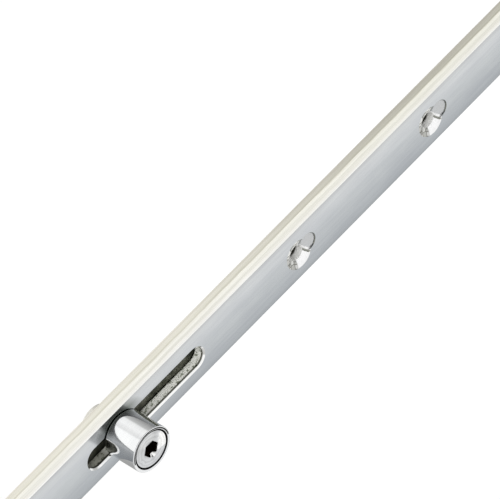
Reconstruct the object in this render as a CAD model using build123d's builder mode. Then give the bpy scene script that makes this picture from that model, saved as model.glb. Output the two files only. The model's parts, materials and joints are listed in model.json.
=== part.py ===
from build123d import *
import math
import os

# A two-point roller lock: a faceplate with a sliding drive rod behind it, a gearbox case in its
# middle and an adjustable roller cam near each end. Millimetres. The origin is the spindle's axis
# in the middle of the case. +Z runs up the strip, -Y points out of the faceplate, +X is its width.

# The faceplate, whose middle lies a little beside the line of its slots and holes
BACKSET = 35.0
FACE_WIDTH = 16.0
FACE_THICK = 3.4
FACE_ASIDE = 0.45
EDGE_BREAK = 0.3
UPPER_END_MARGIN = 22.4
LOWER_END_MARGIN = 22.4

# The drive rod behind it and how far it slides
ROD_WIDTH = 15.0
ROD_THICK = 2.5
ROD_GAP = 0.2
TRAVEL_UP = 8.5
TRAVEL_DOWN = 20.0
RUN_GAP = 0.3
WINDOW_WEB = 4.0
HOOK_NECK_WIDTH = 5.0
HOOK_HEAD_WIDTH = 9.0
HOOK_NECK_LENGTH = 3.5
HOOK_HEAD_LENGTH = 4.5
HOOK_GAP = 0.05

# The screw holes in the faceplate and the bushes behind them, in which the rod's slots run
SCREW_HOLE = 4.6
SCREW_HEAD = 9.2
RELIEF = 5.9
RELIEF_DEPTH = 1.4
RELIEF_BELOW = 4.2
RELIEF_ASIDE = 0.8
COUNTERSINK_ANGLE = 90.0
SCREW_FROM_CAM = 70.0
SCREW_PITCH = 54.0
UPPER_END_PITCH = 55.6
LOWER_END_PITCH = 85.0
BUSH_OD = 7.0
BUSH_FLANGE = 10.5
BUSH_FLANGE_THICK = 1.4
ROD_END_GAP = 1.0

# The gearbox case: a tray with its back on -X, and a flat cover on +X
CASE_THICK = 15.0
CASE_WALL = 1.5
CASE_REAR = 15.0
CASE_CORNER = 3.0
LUG_HEIGHT = 10.0
LUG_DEPTH = 11.0
CASE_SCREW = 4.0
CASE_SCREW_HEAD = 8.0
CASE_SCREW_LENGTH = 15.0
PILLAR = 6.0
PILLAR_INSET = 7.0
COVER_SCREW = 2.9
COVER_SCREW_HEAD = 5.5
COVER_SCREW_LENGTH = 9.0
THREAD_GAP = 0.05
CROSS_LENGTH_SHARE = 0.6
CROSS_WIDTH_SHARE = 0.14
CROSS_DEPTH_SHARE = 0.8

# The follower and the rack that it drives
SPINDLE_SQUARE = 8.1
JOURNAL = 16.0
HUB = 20.0
BEARING_GAP = 0.05
RACK_BAR = 3.4
FOLLOWER_TEETH = 23
PRESSURE_ANGLE = 20.0
ADDENDUM = 0.9
DEDENDUM = 1.2
BACKLASH = 0.35
TOOTH_FOOT = 0.3
SECTOR_THICK = 6.0
FOLLOWER_CLEAR = 2.2
RACK_TENON = 4.0
RACK_TENON_INSET = 4.0

# The profile cylinder's cut-out
CYLINDER_BELOW = 92.0
CYLINDER_ROUND = 17.4
CYLINDER_STEM = 10.4
CYLINDER_HEIGHT = 33.4
CYLINDER_SCREW = 5.2
CYLINDER_SCREW_HEAD = 9.4

# The deadbolt
BOLT_HEIGHT = 28.0
BOLT_WIDTH = 9.6
BOLT_HELD = 15.0
BOLT_TAIL = 12.0
BOLT_TAIL_HEIGHT = 18.0
BOLT_ABOVE_CYLINDER = 7.5
BOLT_THROW = 20.0
KEY_NOTCH = 2.5
KEY_NOTCH_PITCH = 10.0
GUIDE_PILLAR = 5.0
GUIDE_PILLAR_INSET = 6.0

# The roller latch
LATCH_Z = 58.0
LATCH_HEIGHT = 22.0
LATCH_WIDTH = 9.6
LATCH_REACH = 4.0
LATCH_REAR = 17.0
LATCH_EAR = 3.5
LATCH_ROLLER = 9.0
LATCH_ROLLER_AHEAD = 1.5
LATCH_AXLE = 3.0
LATCH_TRAVEL = 5.5
STEM = 5.0
STEM_TAIL = 3.1
CLIP_OD = 9.0
CLIP_THICK = 0.8
CLIP_GROOVE = 4.0
BRIDGE_THICK = 2.0
BRIDGE_HEIGHT = 14.0
SPRING_WIRE = 0.9
SPRING_MEAN = 7.2
SPRING_TURNS = 5

# The roller cams
CAM_ABOVE_CASE = 63.0
CAM_BELOW_CASE = 50.0
ROLLER = 13.5
ROLLER_LENGTH = 10.2
ROLLER_LIFT = 0.45
ROLLER_RECESS = 11.7
HEAD = 11.0
HEAD_THICK = 2.5
HEAD_SUNK = 0.25
ECCENTRIC = 0.8
AXLE = 8.0
NECK = 6.2
SPIGOT = 5.6
HEX = 4.5
HEX_DEPTH = 3.5
COLLAR = 12.0
COLLAR_THICK = 2.9
COLLAR_GAP = 0.1
CAM_SLOT_WIDTH = 6.8
CAM_SLOT_RIM = 0.5
CAM_SLOT_RIM_ANGLE = 45.0
CAM_SLOT_SPARE_TOP = 2.4
CAM_SLOT_SPARE_BOTTOM = 7.8

# Depths, worked out from the face inwards
FACE = -BACKSET
FACE_BACK = FACE + FACE_THICK
ROD_FRONT = FACE_BACK + ROD_GAP
ROD_BACK = ROD_FRONT + ROD_THICK
CASE_FRONT = ROD_BACK + RUN_GAP
CASE_HALF = CASE_THICK / 2
ROOM_HALF = CASE_HALF - CASE_WALL

# Heights, worked out from the spindle upwards and downwards
SLOT_RADIUS = BUSH_OD / 2 + RUN_GAP
LATCH_WINDOW_TOP = LATCH_Z + LATCH_HEIGHT / 2 + TRAVEL_DOWN + RUN_GAP
LATCH_WINDOW_BOTTOM = LATCH_Z - LATCH_HEIGHT / 2 - TRAVEL_UP - RUN_GAP
UPPER_LUG_Z = LATCH_WINDOW_TOP + WINDOW_WEB + SLOT_RADIUS + TRAVEL_UP
CASE_TOP = UPPER_LUG_Z + LUG_HEIGHT / 2 + CASE_WALL

CYLINDER_Z = -CYLINDER_BELOW
CYLINDER_BOTTOM = CYLINDER_Z + CYLINDER_ROUND / 2 - CYLINDER_HEIGHT
BOLT_BOTTOM = CYLINDER_Z + CYLINDER_ROUND / 2 + BOLT_ABOVE_CYLINDER
BOLT_Z = BOLT_BOTTOM + BOLT_HEIGHT / 2
BOLT_WINDOW_TOP = BOLT_Z + BOLT_HEIGHT / 2 + TRAVEL_DOWN + RUN_GAP
BOLT_WINDOW_BOTTOM = BOLT_BOTTOM - TRAVEL_UP - RUN_GAP
CYLINDER_SLOT_RADIUS = CYLINDER_SCREW / 2 + RUN_GAP
CYLINDER_SLOT_BOTTOM = CYLINDER_Z - TRAVEL_UP - CYLINDER_SLOT_RADIUS
LOWER_LUG_Z = min(
    CYLINDER_SLOT_BOTTOM - WINDOW_WEB - SLOT_RADIUS - TRAVEL_DOWN,
    CYLINDER_BOTTOM - WINDOW_WEB - LUG_HEIGHT / 2,
)
CASE_BOTTOM = LOWER_LUG_Z - LUG_HEIGHT / 2 - CASE_WALL

UPPER_CAM_Z = CASE_TOP + CAM_ABOVE_CASE
LOWER_CAM_Z = CASE_BOTTOM - CAM_BELOW_CASE
UPPER_SCREWS = [UPPER_CAM_Z + SCREW_FROM_CAM]
UPPER_END_SCREW = UPPER_SCREWS[0] + UPPER_END_PITCH
LOWER_SCREWS = [LOWER_CAM_Z - SCREW_FROM_CAM, LOWER_CAM_Z - SCREW_FROM_CAM - SCREW_PITCH]
LOWER_END_SCREW = LOWER_SCREWS[1] - LOWER_END_PITCH
FACE_TOP = UPPER_END_SCREW + UPPER_END_MARGIN
FACE_BOTTOM = LOWER_END_SCREW - LOWER_END_MARGIN

# The slide's two ends, and the rods' far ends, which stop short of the end screws
SLIDE_TOP = UPPER_LUG_Z + TRAVEL_DOWN + SLOT_RADIUS + WINDOW_WEB
SLIDE_BOTTOM = LOWER_LUG_Z - TRAVEL_UP - SLOT_RADIUS - WINDOW_WEB
END_CLEAR = BUSH_FLANGE / 2 + ROD_END_GAP
ROD_TOP = UPPER_END_SCREW - TRAVEL_UP - END_CLEAR
ROD_BOTTOM = LOWER_END_SCREW + TRAVEL_DOWN + END_CLEAR

# The deadbolt keeps this much in the case when thrown, and the latch's spring binds at full travel
BOLT_LENGTH = BOLT_THROW + BOLT_HELD
SPRING_ROOM = LATCH_TRAVEL + (SPRING_TURNS + 1) * SPRING_WIRE
BRIDGE_FRONT = FACE + LATCH_REAR + SPRING_ROOM
LATCH_AXLE_Y = FACE - LATCH_ROLLER_AHEAD
STEM_LENGTH = SPRING_ROOM + BRIDGE_THICK + STEM_TAIL

# The cam slots in the faceplate leave room for the neck over the whole travel
CAM_SLOT_TOP = NECK / 2 + TRAVEL_UP + CAM_SLOT_SPARE_TOP
CAM_SLOT_BOTTOM = NECK / 2 + TRAVEL_DOWN + CAM_SLOT_SPARE_BOTTOM

# The rack's bar stands on the rod's back, the follower's pitch circle reaches the rack's pitch
# line, and both share one module
PITCH_RADIUS = (-ROD_BACK - RACK_BAR) / (1 + 2 * DEDENDUM / FOLLOWER_TEETH)
MODULE = 2 * PITCH_RADIUS / FOLLOWER_TEETH
TOOTH_PITCH = math.pi * MODULE
TOOTH_ANGLE = 360 / FOLLOWER_TEETH
TURN_UP = math.degrees(TRAVEL_UP / PITCH_RADIUS)
TURN_DOWN = math.degrees(TRAVEL_DOWN / PITCH_RADIUS)
TEETH_ABOVE = math.ceil(TURN_DOWN / TOOTH_ANGLE) + 1
TEETH_BELOW = math.ceil(TURN_UP / TOOTH_ANGLE) + 1
RACK_TOP = (TEETH_ABOVE + 0.5) * TOOTH_PITCH
RACK_BOTTOM = -(TEETH_BELOW + 0.5) * TOOTH_PITCH
RACK_ROOT = ROD_BACK + RACK_BAR
RACK_TIP = -PITCH_RADIUS + ADDENDUM * MODULE
RACK_TENONS = [(0, RACK_TOP - RACK_TENON_INSET), (0, RACK_BOTTOM + RACK_TENON_INSET)]
TOOTH_TIP = PITCH_RADIUS + ADDENDUM * MODULE
TOOTH_ROOT = PITCH_RADIUS - DEDENDUM * MODULE

os.makedirs("parts", exist_ok=True)


def save(builder, label):
    """Name a finished piece and write it."""
    builder.part.label = label
    export_step(builder.part, f"parts/{label}.step")


def front(y):
    """A sketch plane seen from the front, with its own x along +X and its own y along +Z."""
    return Plane(origin=(0, y, 0), x_dir=(1, 0, 0), z_dir=(0, -1, 0))


def side(x):
    """A sketch plane seen from +X, with its own x along +Y and its own y along +Z."""
    return Plane(origin=(x, 0, 0), x_dir=(0, 1, 0), z_dir=(1, 0, 0))


def level(z):
    """A sketch plane at one height, with its own x along +X and its own y along +Y."""
    return Plane.XY.offset(z)


def run_slot(z, radius):
    """The rod's slot round a fixed post at this height: long enough for the whole travel."""
    with Locations((0, z + (TRAVEL_DOWN - TRAVEL_UP) / 2)):
        SlotCenterToCenter(TRAVEL_UP + TRAVEL_DOWN, 2 * radius, rotation=90, mode=Mode.SUBTRACT)


def make_faceplate():
    """The strip with its round ends, cam slots, windows and countersunk holes."""
    with BuildPart() as plate:
        with BuildSketch(front(FACE_BACK)):
            with Locations((FACE_ASIDE, (FACE_TOP + FACE_BOTTOM) / 2)):
                SlotOverall(FACE_TOP - FACE_BOTTOM, FACE_WIDTH, rotation=90)
            with Locations((0, LATCH_Z)):
                Rectangle(
                    LATCH_WIDTH + 2 * RUN_GAP, LATCH_HEIGHT + 2 * RUN_GAP, mode=Mode.SUBTRACT
                )
            with Locations((0, BOLT_Z)):
                Rectangle(
                    BOLT_WIDTH + 2 * RUN_GAP, BOLT_HEIGHT + 2 * RUN_GAP, mode=Mode.SUBTRACT
                )
        extrude(amount=FACE_THICK)
        chamfer(plate.faces().sort_by(Axis.Y)[0].edges(), EDGE_BREAK)
        chamfer(plate.faces().sort_by(Axis.Y)[-1].outer_wire().edges(), EDGE_BREAK)
        cam_slots = [
            (0, z - ECCENTRIC + (CAM_SLOT_TOP - CAM_SLOT_BOTTOM) / 2)
            for z in (UPPER_CAM_Z, LOWER_CAM_Z)
        ]
        with BuildSketch(front(FACE)):
            with Locations(*cam_slots):
                SlotOverall(CAM_SLOT_TOP + CAM_SLOT_BOTTOM, CAM_SLOT_WIDTH, rotation=90)
        extrude(amount=-FACE_THICK, mode=Mode.SUBTRACT)
        with BuildSketch(front(FACE)):
            with Locations(*cam_slots):
                SlotOverall(
                    CAM_SLOT_TOP + CAM_SLOT_BOTTOM + 2 * CAM_SLOT_RIM,
                    CAM_SLOT_WIDTH + 2 * CAM_SLOT_RIM,
                    rotation=90,
                )
        extrude(amount=-CAM_SLOT_RIM, taper=CAM_SLOT_RIM_ANGLE, mode=Mode.SUBTRACT)
        strip_screws = UPPER_SCREWS + [UPPER_END_SCREW] + LOWER_SCREWS + [LOWER_END_SCREW]
        with Locations(*[front(FACE) * Location((0, z, 0)) for z in strip_screws]):
            CounterSinkHole(SCREW_HOLE / 2, SCREW_HEAD / 2, FACE_THICK, COUNTERSINK_ANGLE)
        with BuildSketch(front(FACE)):
            with Locations(*[(RELIEF_ASIDE, z - RELIEF_BELOW) for z in strip_screws]):
                Circle(RELIEF / 2)
        extrude(amount=-RELIEF_DEPTH, mode=Mode.SUBTRACT)
        with Locations(*[front(FACE) * Location((0, z, 0)) for z in (UPPER_LUG_Z, LOWER_LUG_Z)]):
            CounterSinkHole(
                CASE_SCREW / 2 + THREAD_GAP,
                CASE_SCREW_HEAD / 2 + THREAD_GAP,
                FACE_THICK,
                COUNTERSINK_ANGLE,
            )
        with Locations(front(FACE) * Location((0, CYLINDER_Z, 0))):
            CounterSinkHole(
                CYLINDER_SCREW / 2, CYLINDER_SCREW_HEAD / 2, FACE_THICK, COUNTERSINK_ANGLE
            )
    save(plate, "faceplate")


def make_guide_bushes():
    """A flanged bush behind each strip screw hole, which holds the rod and guides its slot."""
    spacer = CASE_FRONT - FACE_BACK
    for number, z in enumerate(UPPER_SCREWS + LOWER_SCREWS, start=1):
        with BuildPart() as bush:
            with BuildSketch(front(FACE_BACK)):
                with Locations((0, z)):
                    Circle(BUSH_OD / 2)
            extrude(amount=-spacer)
            with BuildSketch(front(CASE_FRONT)):
                with Locations((0, z)):
                    Circle(BUSH_FLANGE / 2)
            extrude(amount=-BUSH_FLANGE_THICK)
            chamfer(bush.faces().sort_by(Axis.Y)[-1].edges(), EDGE_BREAK)
            with BuildSketch(front(FACE_BACK)):
                with Locations((0, z)):
                    Circle(SCREW_HOLE / 2)
            extrude(amount=-spacer - BUSH_FLANGE_THICK, mode=Mode.SUBTRACT)
        save(bush, f"guide_bush_{number}")


def hook(mode, z, direction, gap=0.0):
    """The hooked joint's outline, a neck and a wider head, from height z in one direction."""
    neck_end = z + direction * (HOOK_NECK_LENGTH + gap)
    with Locations((0, (z + neck_end) / 2)):
        Rectangle(HOOK_NECK_WIDTH + 2 * gap, abs(neck_end - z), mode=mode)
    with Locations((0, z + direction * (HOOK_NECK_LENGTH + HOOK_HEAD_LENGTH / 2))):
        Rectangle(HOOK_HEAD_WIDTH + 2 * gap, HOOK_HEAD_LENGTH + 2 * gap, mode=mode)


def make_drive_slide():
    """The rod's middle length, with windows for the latch, deadbolt, case lugs and rack."""
    with BuildPart() as slide:
        with BuildSketch(front(ROD_BACK)):
            with Locations((FACE_ASIDE, (SLIDE_TOP + SLIDE_BOTTOM) / 2)):
                Rectangle(ROD_WIDTH, SLIDE_TOP - SLIDE_BOTTOM)
            hook(Mode.ADD, SLIDE_TOP, 1)
            hook(Mode.ADD, SLIDE_BOTTOM, -1)
            with Locations((0, (LATCH_WINDOW_TOP + LATCH_WINDOW_BOTTOM) / 2)):
                Rectangle(
                    LATCH_WIDTH + 2 * RUN_GAP,
                    LATCH_WINDOW_TOP - LATCH_WINDOW_BOTTOM,
                    mode=Mode.SUBTRACT,
                )
            with Locations((0, (BOLT_WINDOW_TOP + BOLT_WINDOW_BOTTOM) / 2)):
                Rectangle(
                    BOLT_WIDTH + 2 * RUN_GAP,
                    BOLT_WINDOW_TOP - BOLT_WINDOW_BOTTOM,
                    mode=Mode.SUBTRACT,
                )
            run_slot(CYLINDER_Z, CYLINDER_SLOT_RADIUS)
            run_slot(UPPER_LUG_Z, SLOT_RADIUS)
            run_slot(LOWER_LUG_Z, SLOT_RADIUS)
            with Locations(*RACK_TENONS):
                Circle(RACK_TENON / 2, mode=Mode.SUBTRACT)
        extrude(amount=ROD_THICK)
    save(slide, "drive_slide")


def make_rod(label, joint_z, end_z, direction, screws, cam_z):
    """One outer rod: a hook pocket at the slide, a cam hole, bush slots and a round far end."""
    middle = (joint_z + end_z) / 2
    with BuildPart() as rod:
        with BuildSketch(front(ROD_BACK)):
            with Locations((FACE_ASIDE, middle)):
                Rectangle(ROD_WIDTH, abs(end_z - joint_z) - 2 * HOOK_GAP)
            hook(Mode.SUBTRACT, joint_z, direction, HOOK_GAP)
            for z in screws:
                run_slot(z, SLOT_RADIUS)
            with Locations((0, cam_z - ECCENTRIC)):
                Circle(SPIGOT / 2 + BEARING_GAP, mode=Mode.SUBTRACT)
        extrude(amount=ROD_THICK)
        far_edges = rod.edges().filter_by(Axis.Y).sort_by(Axis.Z)
        fillet(far_edges[-2:] if direction > 0 else far_edges[:2], ROD_THICK)
    save(rod, label)


def make_rack():
    """The toothed bar on the slide's back, riveted by two tenons, meshing with the follower."""
    flank = ADDENDUM * MODULE * math.tan(math.radians(PRESSURE_ANGLE))
    root_flank = DEDENDUM * MODULE * math.tan(math.radians(PRESSURE_ANGLE))
    half = TOOTH_PITCH / 4 - BACKLASH / 2
    with BuildPart() as rack:
        with BuildSketch(side(-SECTOR_THICK / 2)):
            with Locations(((ROD_BACK + RACK_ROOT) / 2, (RACK_TOP + RACK_BOTTOM) / 2)):
                Rectangle(RACK_ROOT - ROD_BACK, RACK_TOP - RACK_BOTTOM)
            for number in range(-TEETH_BELOW, TEETH_ABOVE + 1):
                z = number * TOOTH_PITCH
                with BuildLine():
                    Polyline(
                        (RACK_ROOT, z - half - root_flank),
                        (RACK_TIP, z - half + flank),
                        (RACK_TIP, z + half - flank),
                        (RACK_ROOT, z + half + root_flank),
                        close=True,
                    )
                make_face()
        extrude(amount=SECTOR_THICK)
        with BuildSketch(front(ROD_BACK)):
            with Locations(*RACK_TENONS):
                Circle(RACK_TENON / 2)
        extrude(amount=ROD_THICK)
    save(rack, "drive_rack")


def involute_point(radius, base, half_at_base):
    """One point on a tooth's flank, as an angle in radians from the tooth's middle."""
    roll = math.sqrt((radius / base) ** 2 - 1)
    return half_at_base - (roll - math.atan(roll))


def make_follower():
    """The hub with its square hole and two journals, and the toothed sector that moves the rack."""
    base = PITCH_RADIUS * math.cos(math.radians(PRESSURE_ANGLE))
    roll = math.tan(math.radians(PRESSURE_ANGLE)) - math.radians(PRESSURE_ANGLE)
    half_at_base = math.pi / (2 * FOLLOWER_TEETH) - BACKLASH / (2 * PITCH_RADIUS) + roll
    radii = [base + (TOOTH_TIP - base) * step / 4 for step in range(5)]
    foot = TOOTH_ROOT - TOOTH_FOOT

    def polar(radius, angle):
        """A point at an angle from the front, positive towards +Z, in the side view."""
        return (-radius * math.cos(angle), radius * math.sin(angle))

    with BuildPart() as follower:
        with BuildSketch(side(-SECTOR_THICK / 2)):
            first = -math.radians((TEETH_BELOW - 0.5) * TOOTH_ANGLE) - half_at_base
            last = math.radians((TEETH_ABOVE - 0.5) * TOOTH_ANGLE) + half_at_base
            with BuildLine():
                Line((0, 0), polar(TOOTH_ROOT, first))
                ThreePointArc(
                    polar(TOOTH_ROOT, first),
                    polar(TOOTH_ROOT, (first + last) / 2),
                    polar(TOOTH_ROOT, last),
                )
                Line(polar(TOOTH_ROOT, last), (0, 0))
            make_face()
            for number in range(-TEETH_BELOW, TEETH_ABOVE):
                middle = math.radians((number + 0.5) * TOOTH_ANGLE)
                left = [
                    polar(r, middle - involute_point(r, base, half_at_base)) for r in radii
                ]
                right = [
                    polar(r, middle + involute_point(r, base, half_at_base)) for r in radii
                ]
                foot_left = polar(foot, middle - half_at_base)
                foot_right = polar(foot, middle + half_at_base)
                with BuildLine():
                    Line(foot_left, left[0])
                    Spline(*left)
                    Line(left[-1], right[-1])
                    Spline(*right)
                    Line(right[0], foot_right)
                    Line(foot_right, foot_left)
                make_face()
            Circle(HUB / 2)
        extrude(amount=SECTOR_THICK)
        with BuildSketch(side(-ROOM_HALF + RUN_GAP)):
            Circle(HUB / 2)
        extrude(amount=2 * (ROOM_HALF - RUN_GAP))
        with BuildSketch(side(-CASE_HALF)):
            Circle(JOURNAL / 2 - BEARING_GAP)
        extrude(amount=CASE_THICK)
        with BuildSketch(side(-CASE_HALF)):
            Rectangle(SPINDLE_SQUARE, SPINDLE_SQUARE)
        extrude(amount=CASE_THICK, mode=Mode.SUBTRACT)
    save(follower, "follower")


def cylinder_cutout():
    """The profile cylinder's outline, cut out of a sketch in the side view."""
    with Locations((0, CYLINDER_Z)):
        Circle(CYLINDER_ROUND / 2, mode=Mode.SUBTRACT)
    stem_length = CYLINDER_HEIGHT - CYLINDER_ROUND / 2
    with Locations((0, CYLINDER_Z - stem_length / 2 + CYLINDER_STEM / 4)):
        Rectangle(CYLINDER_STEM, stem_length - CYLINDER_STEM / 2, mode=Mode.SUBTRACT)
    with Locations((0, CYLINDER_BOTTOM + CYLINDER_STEM / 2)):
        Circle(CYLINDER_STEM / 2, mode=Mode.SUBTRACT)


def cover_pillars():
    """Where the cover's screws stand, in the side view."""
    rear = CASE_REAR - PILLAR_INSET
    past_teeth = TOOTH_TIP + FOLLOWER_CLEAR + PILLAR / 2
    return [
        (rear, CASE_TOP - PILLAR_INSET),
        (rear, past_teeth),
        (rear, -past_teeth),
        (rear, CASE_BOTTOM + PILLAR_INSET),
    ]


def make_case():
    """The tray: its back, rim, front wall with windows, screw lugs, pillars and spring bridge."""
    height = CASE_TOP - CASE_BOTTOM
    depth = CASE_REAR - CASE_FRONT
    middle = ((CASE_REAR + CASE_FRONT) / 2, (CASE_TOP + CASE_BOTTOM) / 2)
    tray_depth = CASE_THICK - CASE_WALL
    guide_y = CASE_FRONT + GUIDE_PILLAR_INSET
    guide_pillars = [
        (guide_y, BOLT_Z + BOLT_HEIGHT / 2 + RUN_GAP + GUIDE_PILLAR / 2),
        (guide_y, BOLT_BOTTOM - RUN_GAP - GUIDE_PILLAR / 2),
    ]
    with BuildPart() as tray:
        with BuildSketch(side(-CASE_HALF)):
            with Locations(middle):
                RectangleRounded(depth, height, CASE_CORNER)
            cylinder_cutout()
        extrude(amount=tray_depth)
        with BuildSketch(side(-ROOM_HALF)):
            with Locations(middle):
                RectangleRounded(
                    depth - 2 * CASE_WALL, height - 2 * CASE_WALL, CASE_CORNER - CASE_WALL
                )
        extrude(amount=tray_depth - CASE_WALL, mode=Mode.SUBTRACT)
        for z in (UPPER_LUG_Z, LOWER_LUG_Z):
            with BuildSketch(side(-ROOM_HALF)):
                with Locations((CASE_FRONT + LUG_DEPTH / 2, z)):
                    Rectangle(LUG_DEPTH, LUG_HEIGHT)
            extrude(amount=2 * ROOM_HALF)
            with BuildSketch(front(CASE_FRONT)):
                with Locations((0, z)):
                    Circle(BUSH_OD / 2)
            extrude(amount=CASE_FRONT - FACE_BACK)
            with BuildSketch(front(FACE_BACK)):
                with Locations((0, z)):
                    Circle(CASE_SCREW / 2 + THREAD_GAP)
            extrude(amount=-CASE_SCREW_LENGTH, mode=Mode.SUBTRACT)
        with BuildSketch(side(-ROOM_HALF)):
            with Locations(*cover_pillars()):
                Circle(PILLAR / 2)
            with Locations(*guide_pillars):
                Circle(GUIDE_PILLAR / 2)
            with Locations((BRIDGE_FRONT + BRIDGE_THICK / 2, LATCH_Z)):
                Rectangle(BRIDGE_THICK, BRIDGE_HEIGHT)
        extrude(amount=2 * ROOM_HALF)
        with BuildSketch(side(CASE_HALF - CASE_WALL)):
            with Locations(*cover_pillars()):
                Circle(COVER_SCREW / 2 + THREAD_GAP)
        extrude(amount=-COVER_SCREW_LENGTH, mode=Mode.SUBTRACT)
        with BuildSketch(front(BRIDGE_FRONT)):
            with Locations((0, LATCH_Z)):
                Circle(STEM / 2 + RUN_GAP)
        extrude(amount=-BRIDGE_THICK, mode=Mode.SUBTRACT)
        with BuildSketch(front(CASE_FRONT)):
            with Locations((0, LATCH_Z)):
                Rectangle(LATCH_WIDTH + 2 * RUN_GAP, LATCH_HEIGHT + 2 * RUN_GAP)
            with Locations((0, BOLT_Z)):
                Rectangle(BOLT_WIDTH + 2 * RUN_GAP, BOLT_HEIGHT + 2 * RUN_GAP)
            with Locations((0, CYLINDER_Z)):
                Circle(CYLINDER_SCREW / 2 + RUN_GAP)
            rack_window_top = RACK_TOP + TRAVEL_UP + 2 * RUN_GAP
            rack_window_bottom = RACK_BOTTOM - TRAVEL_DOWN - 2 * RUN_GAP
            with Locations((0, (rack_window_top + rack_window_bottom) / 2)):
                Rectangle(SECTOR_THICK + 2 * RUN_GAP, rack_window_top - rack_window_bottom)
        extrude(amount=-CASE_WALL, mode=Mode.SUBTRACT)
        with BuildSketch(side(-CASE_HALF)):
            Circle(JOURNAL / 2)
        extrude(amount=CASE_WALL, mode=Mode.SUBTRACT)
    save(tray, "lock_case")

    with BuildPart() as cover:
        with BuildSketch(side(ROOM_HALF)):
            with Locations(middle):
                RectangleRounded(depth, height, CASE_CORNER)
            cylinder_cutout()
            Circle(JOURNAL / 2, mode=Mode.SUBTRACT)
        extrude(amount=CASE_WALL)
        with Locations(*[side(CASE_HALF) * Location((y, z, 0)) for y, z in cover_pillars()]):
            CounterSinkHole(
                COVER_SCREW / 2 + THREAD_GAP,
                COVER_SCREW_HEAD / 2 + THREAD_GAP,
                CASE_WALL,
                COUNTERSINK_ANGLE,
            )
    save(cover, "case_cover")


def make_screw(label, plane, shank, head, length):
    """A countersunk screw with a cross recess, its head's top on the given plane."""
    head_depth = (head - shank) / 2
    with BuildPart() as screw:
        with BuildSketch(plane):
            Circle(head / 2)
        extrude(amount=-head_depth, taper=COUNTERSINK_ANGLE / 2)
        with BuildSketch(plane):
            Circle(shank / 2)
        extrude(amount=-length)
        with BuildSketch(plane):
            Rectangle(head * CROSS_LENGTH_SHARE, head * CROSS_WIDTH_SHARE)
            Rectangle(head * CROSS_WIDTH_SHARE, head * CROSS_LENGTH_SHARE)
        extrude(amount=-head_depth * CROSS_DEPTH_SHARE, mode=Mode.SUBTRACT)
    save(screw, label)


def make_screws():
    """Two machine screws from the faceplate into the lugs, and four that hold the cover."""
    reach = CASE_SCREW_LENGTH + FACE_THICK - 2 * THREAD_GAP
    for label, z in (("case_screw_upper", UPPER_LUG_Z), ("case_screw_lower", LOWER_LUG_Z)):
        plane = front(FACE) * Plane(origin=(0, z, 0))
        make_screw(label, plane, CASE_SCREW, CASE_SCREW_HEAD, reach)
    for number, (y, z) in enumerate(cover_pillars(), start=1):
        plane = side(CASE_HALF) * Plane(origin=(y, z, 0))
        make_screw(
            f"cover_screw_{number}", plane, COVER_SCREW, COVER_SCREW_HEAD, COVER_SCREW_LENGTH
        )


def make_deadbolt():
    """The steel bolt with its tail, and the two notches that the key's cam pushes."""
    with BuildPart() as bolt:
        with BuildSketch(side(-BOLT_WIDTH / 2)):
            with Locations((FACE + BOLT_LENGTH / 2, BOLT_Z)):
                Rectangle(BOLT_LENGTH, BOLT_HEIGHT)
            tail_middle = FACE + BOLT_LENGTH + BOLT_TAIL / 2
            with Locations((tail_middle, BOLT_BOTTOM + BOLT_TAIL_HEIGHT / 2)):
                Rectangle(BOLT_TAIL, BOLT_TAIL_HEIGHT)
            for y in (tail_middle - KEY_NOTCH_PITCH, tail_middle):
                with Locations((y, BOLT_BOTTOM)):
                    Circle(KEY_NOTCH, mode=Mode.SUBTRACT)
        extrude(amount=BOLT_WIDTH)
        chamfer(bolt.faces().sort_by(Axis.Y)[0].edges(), 2 * EDGE_BREAK)
    save(bolt, "deadbolt")


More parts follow.
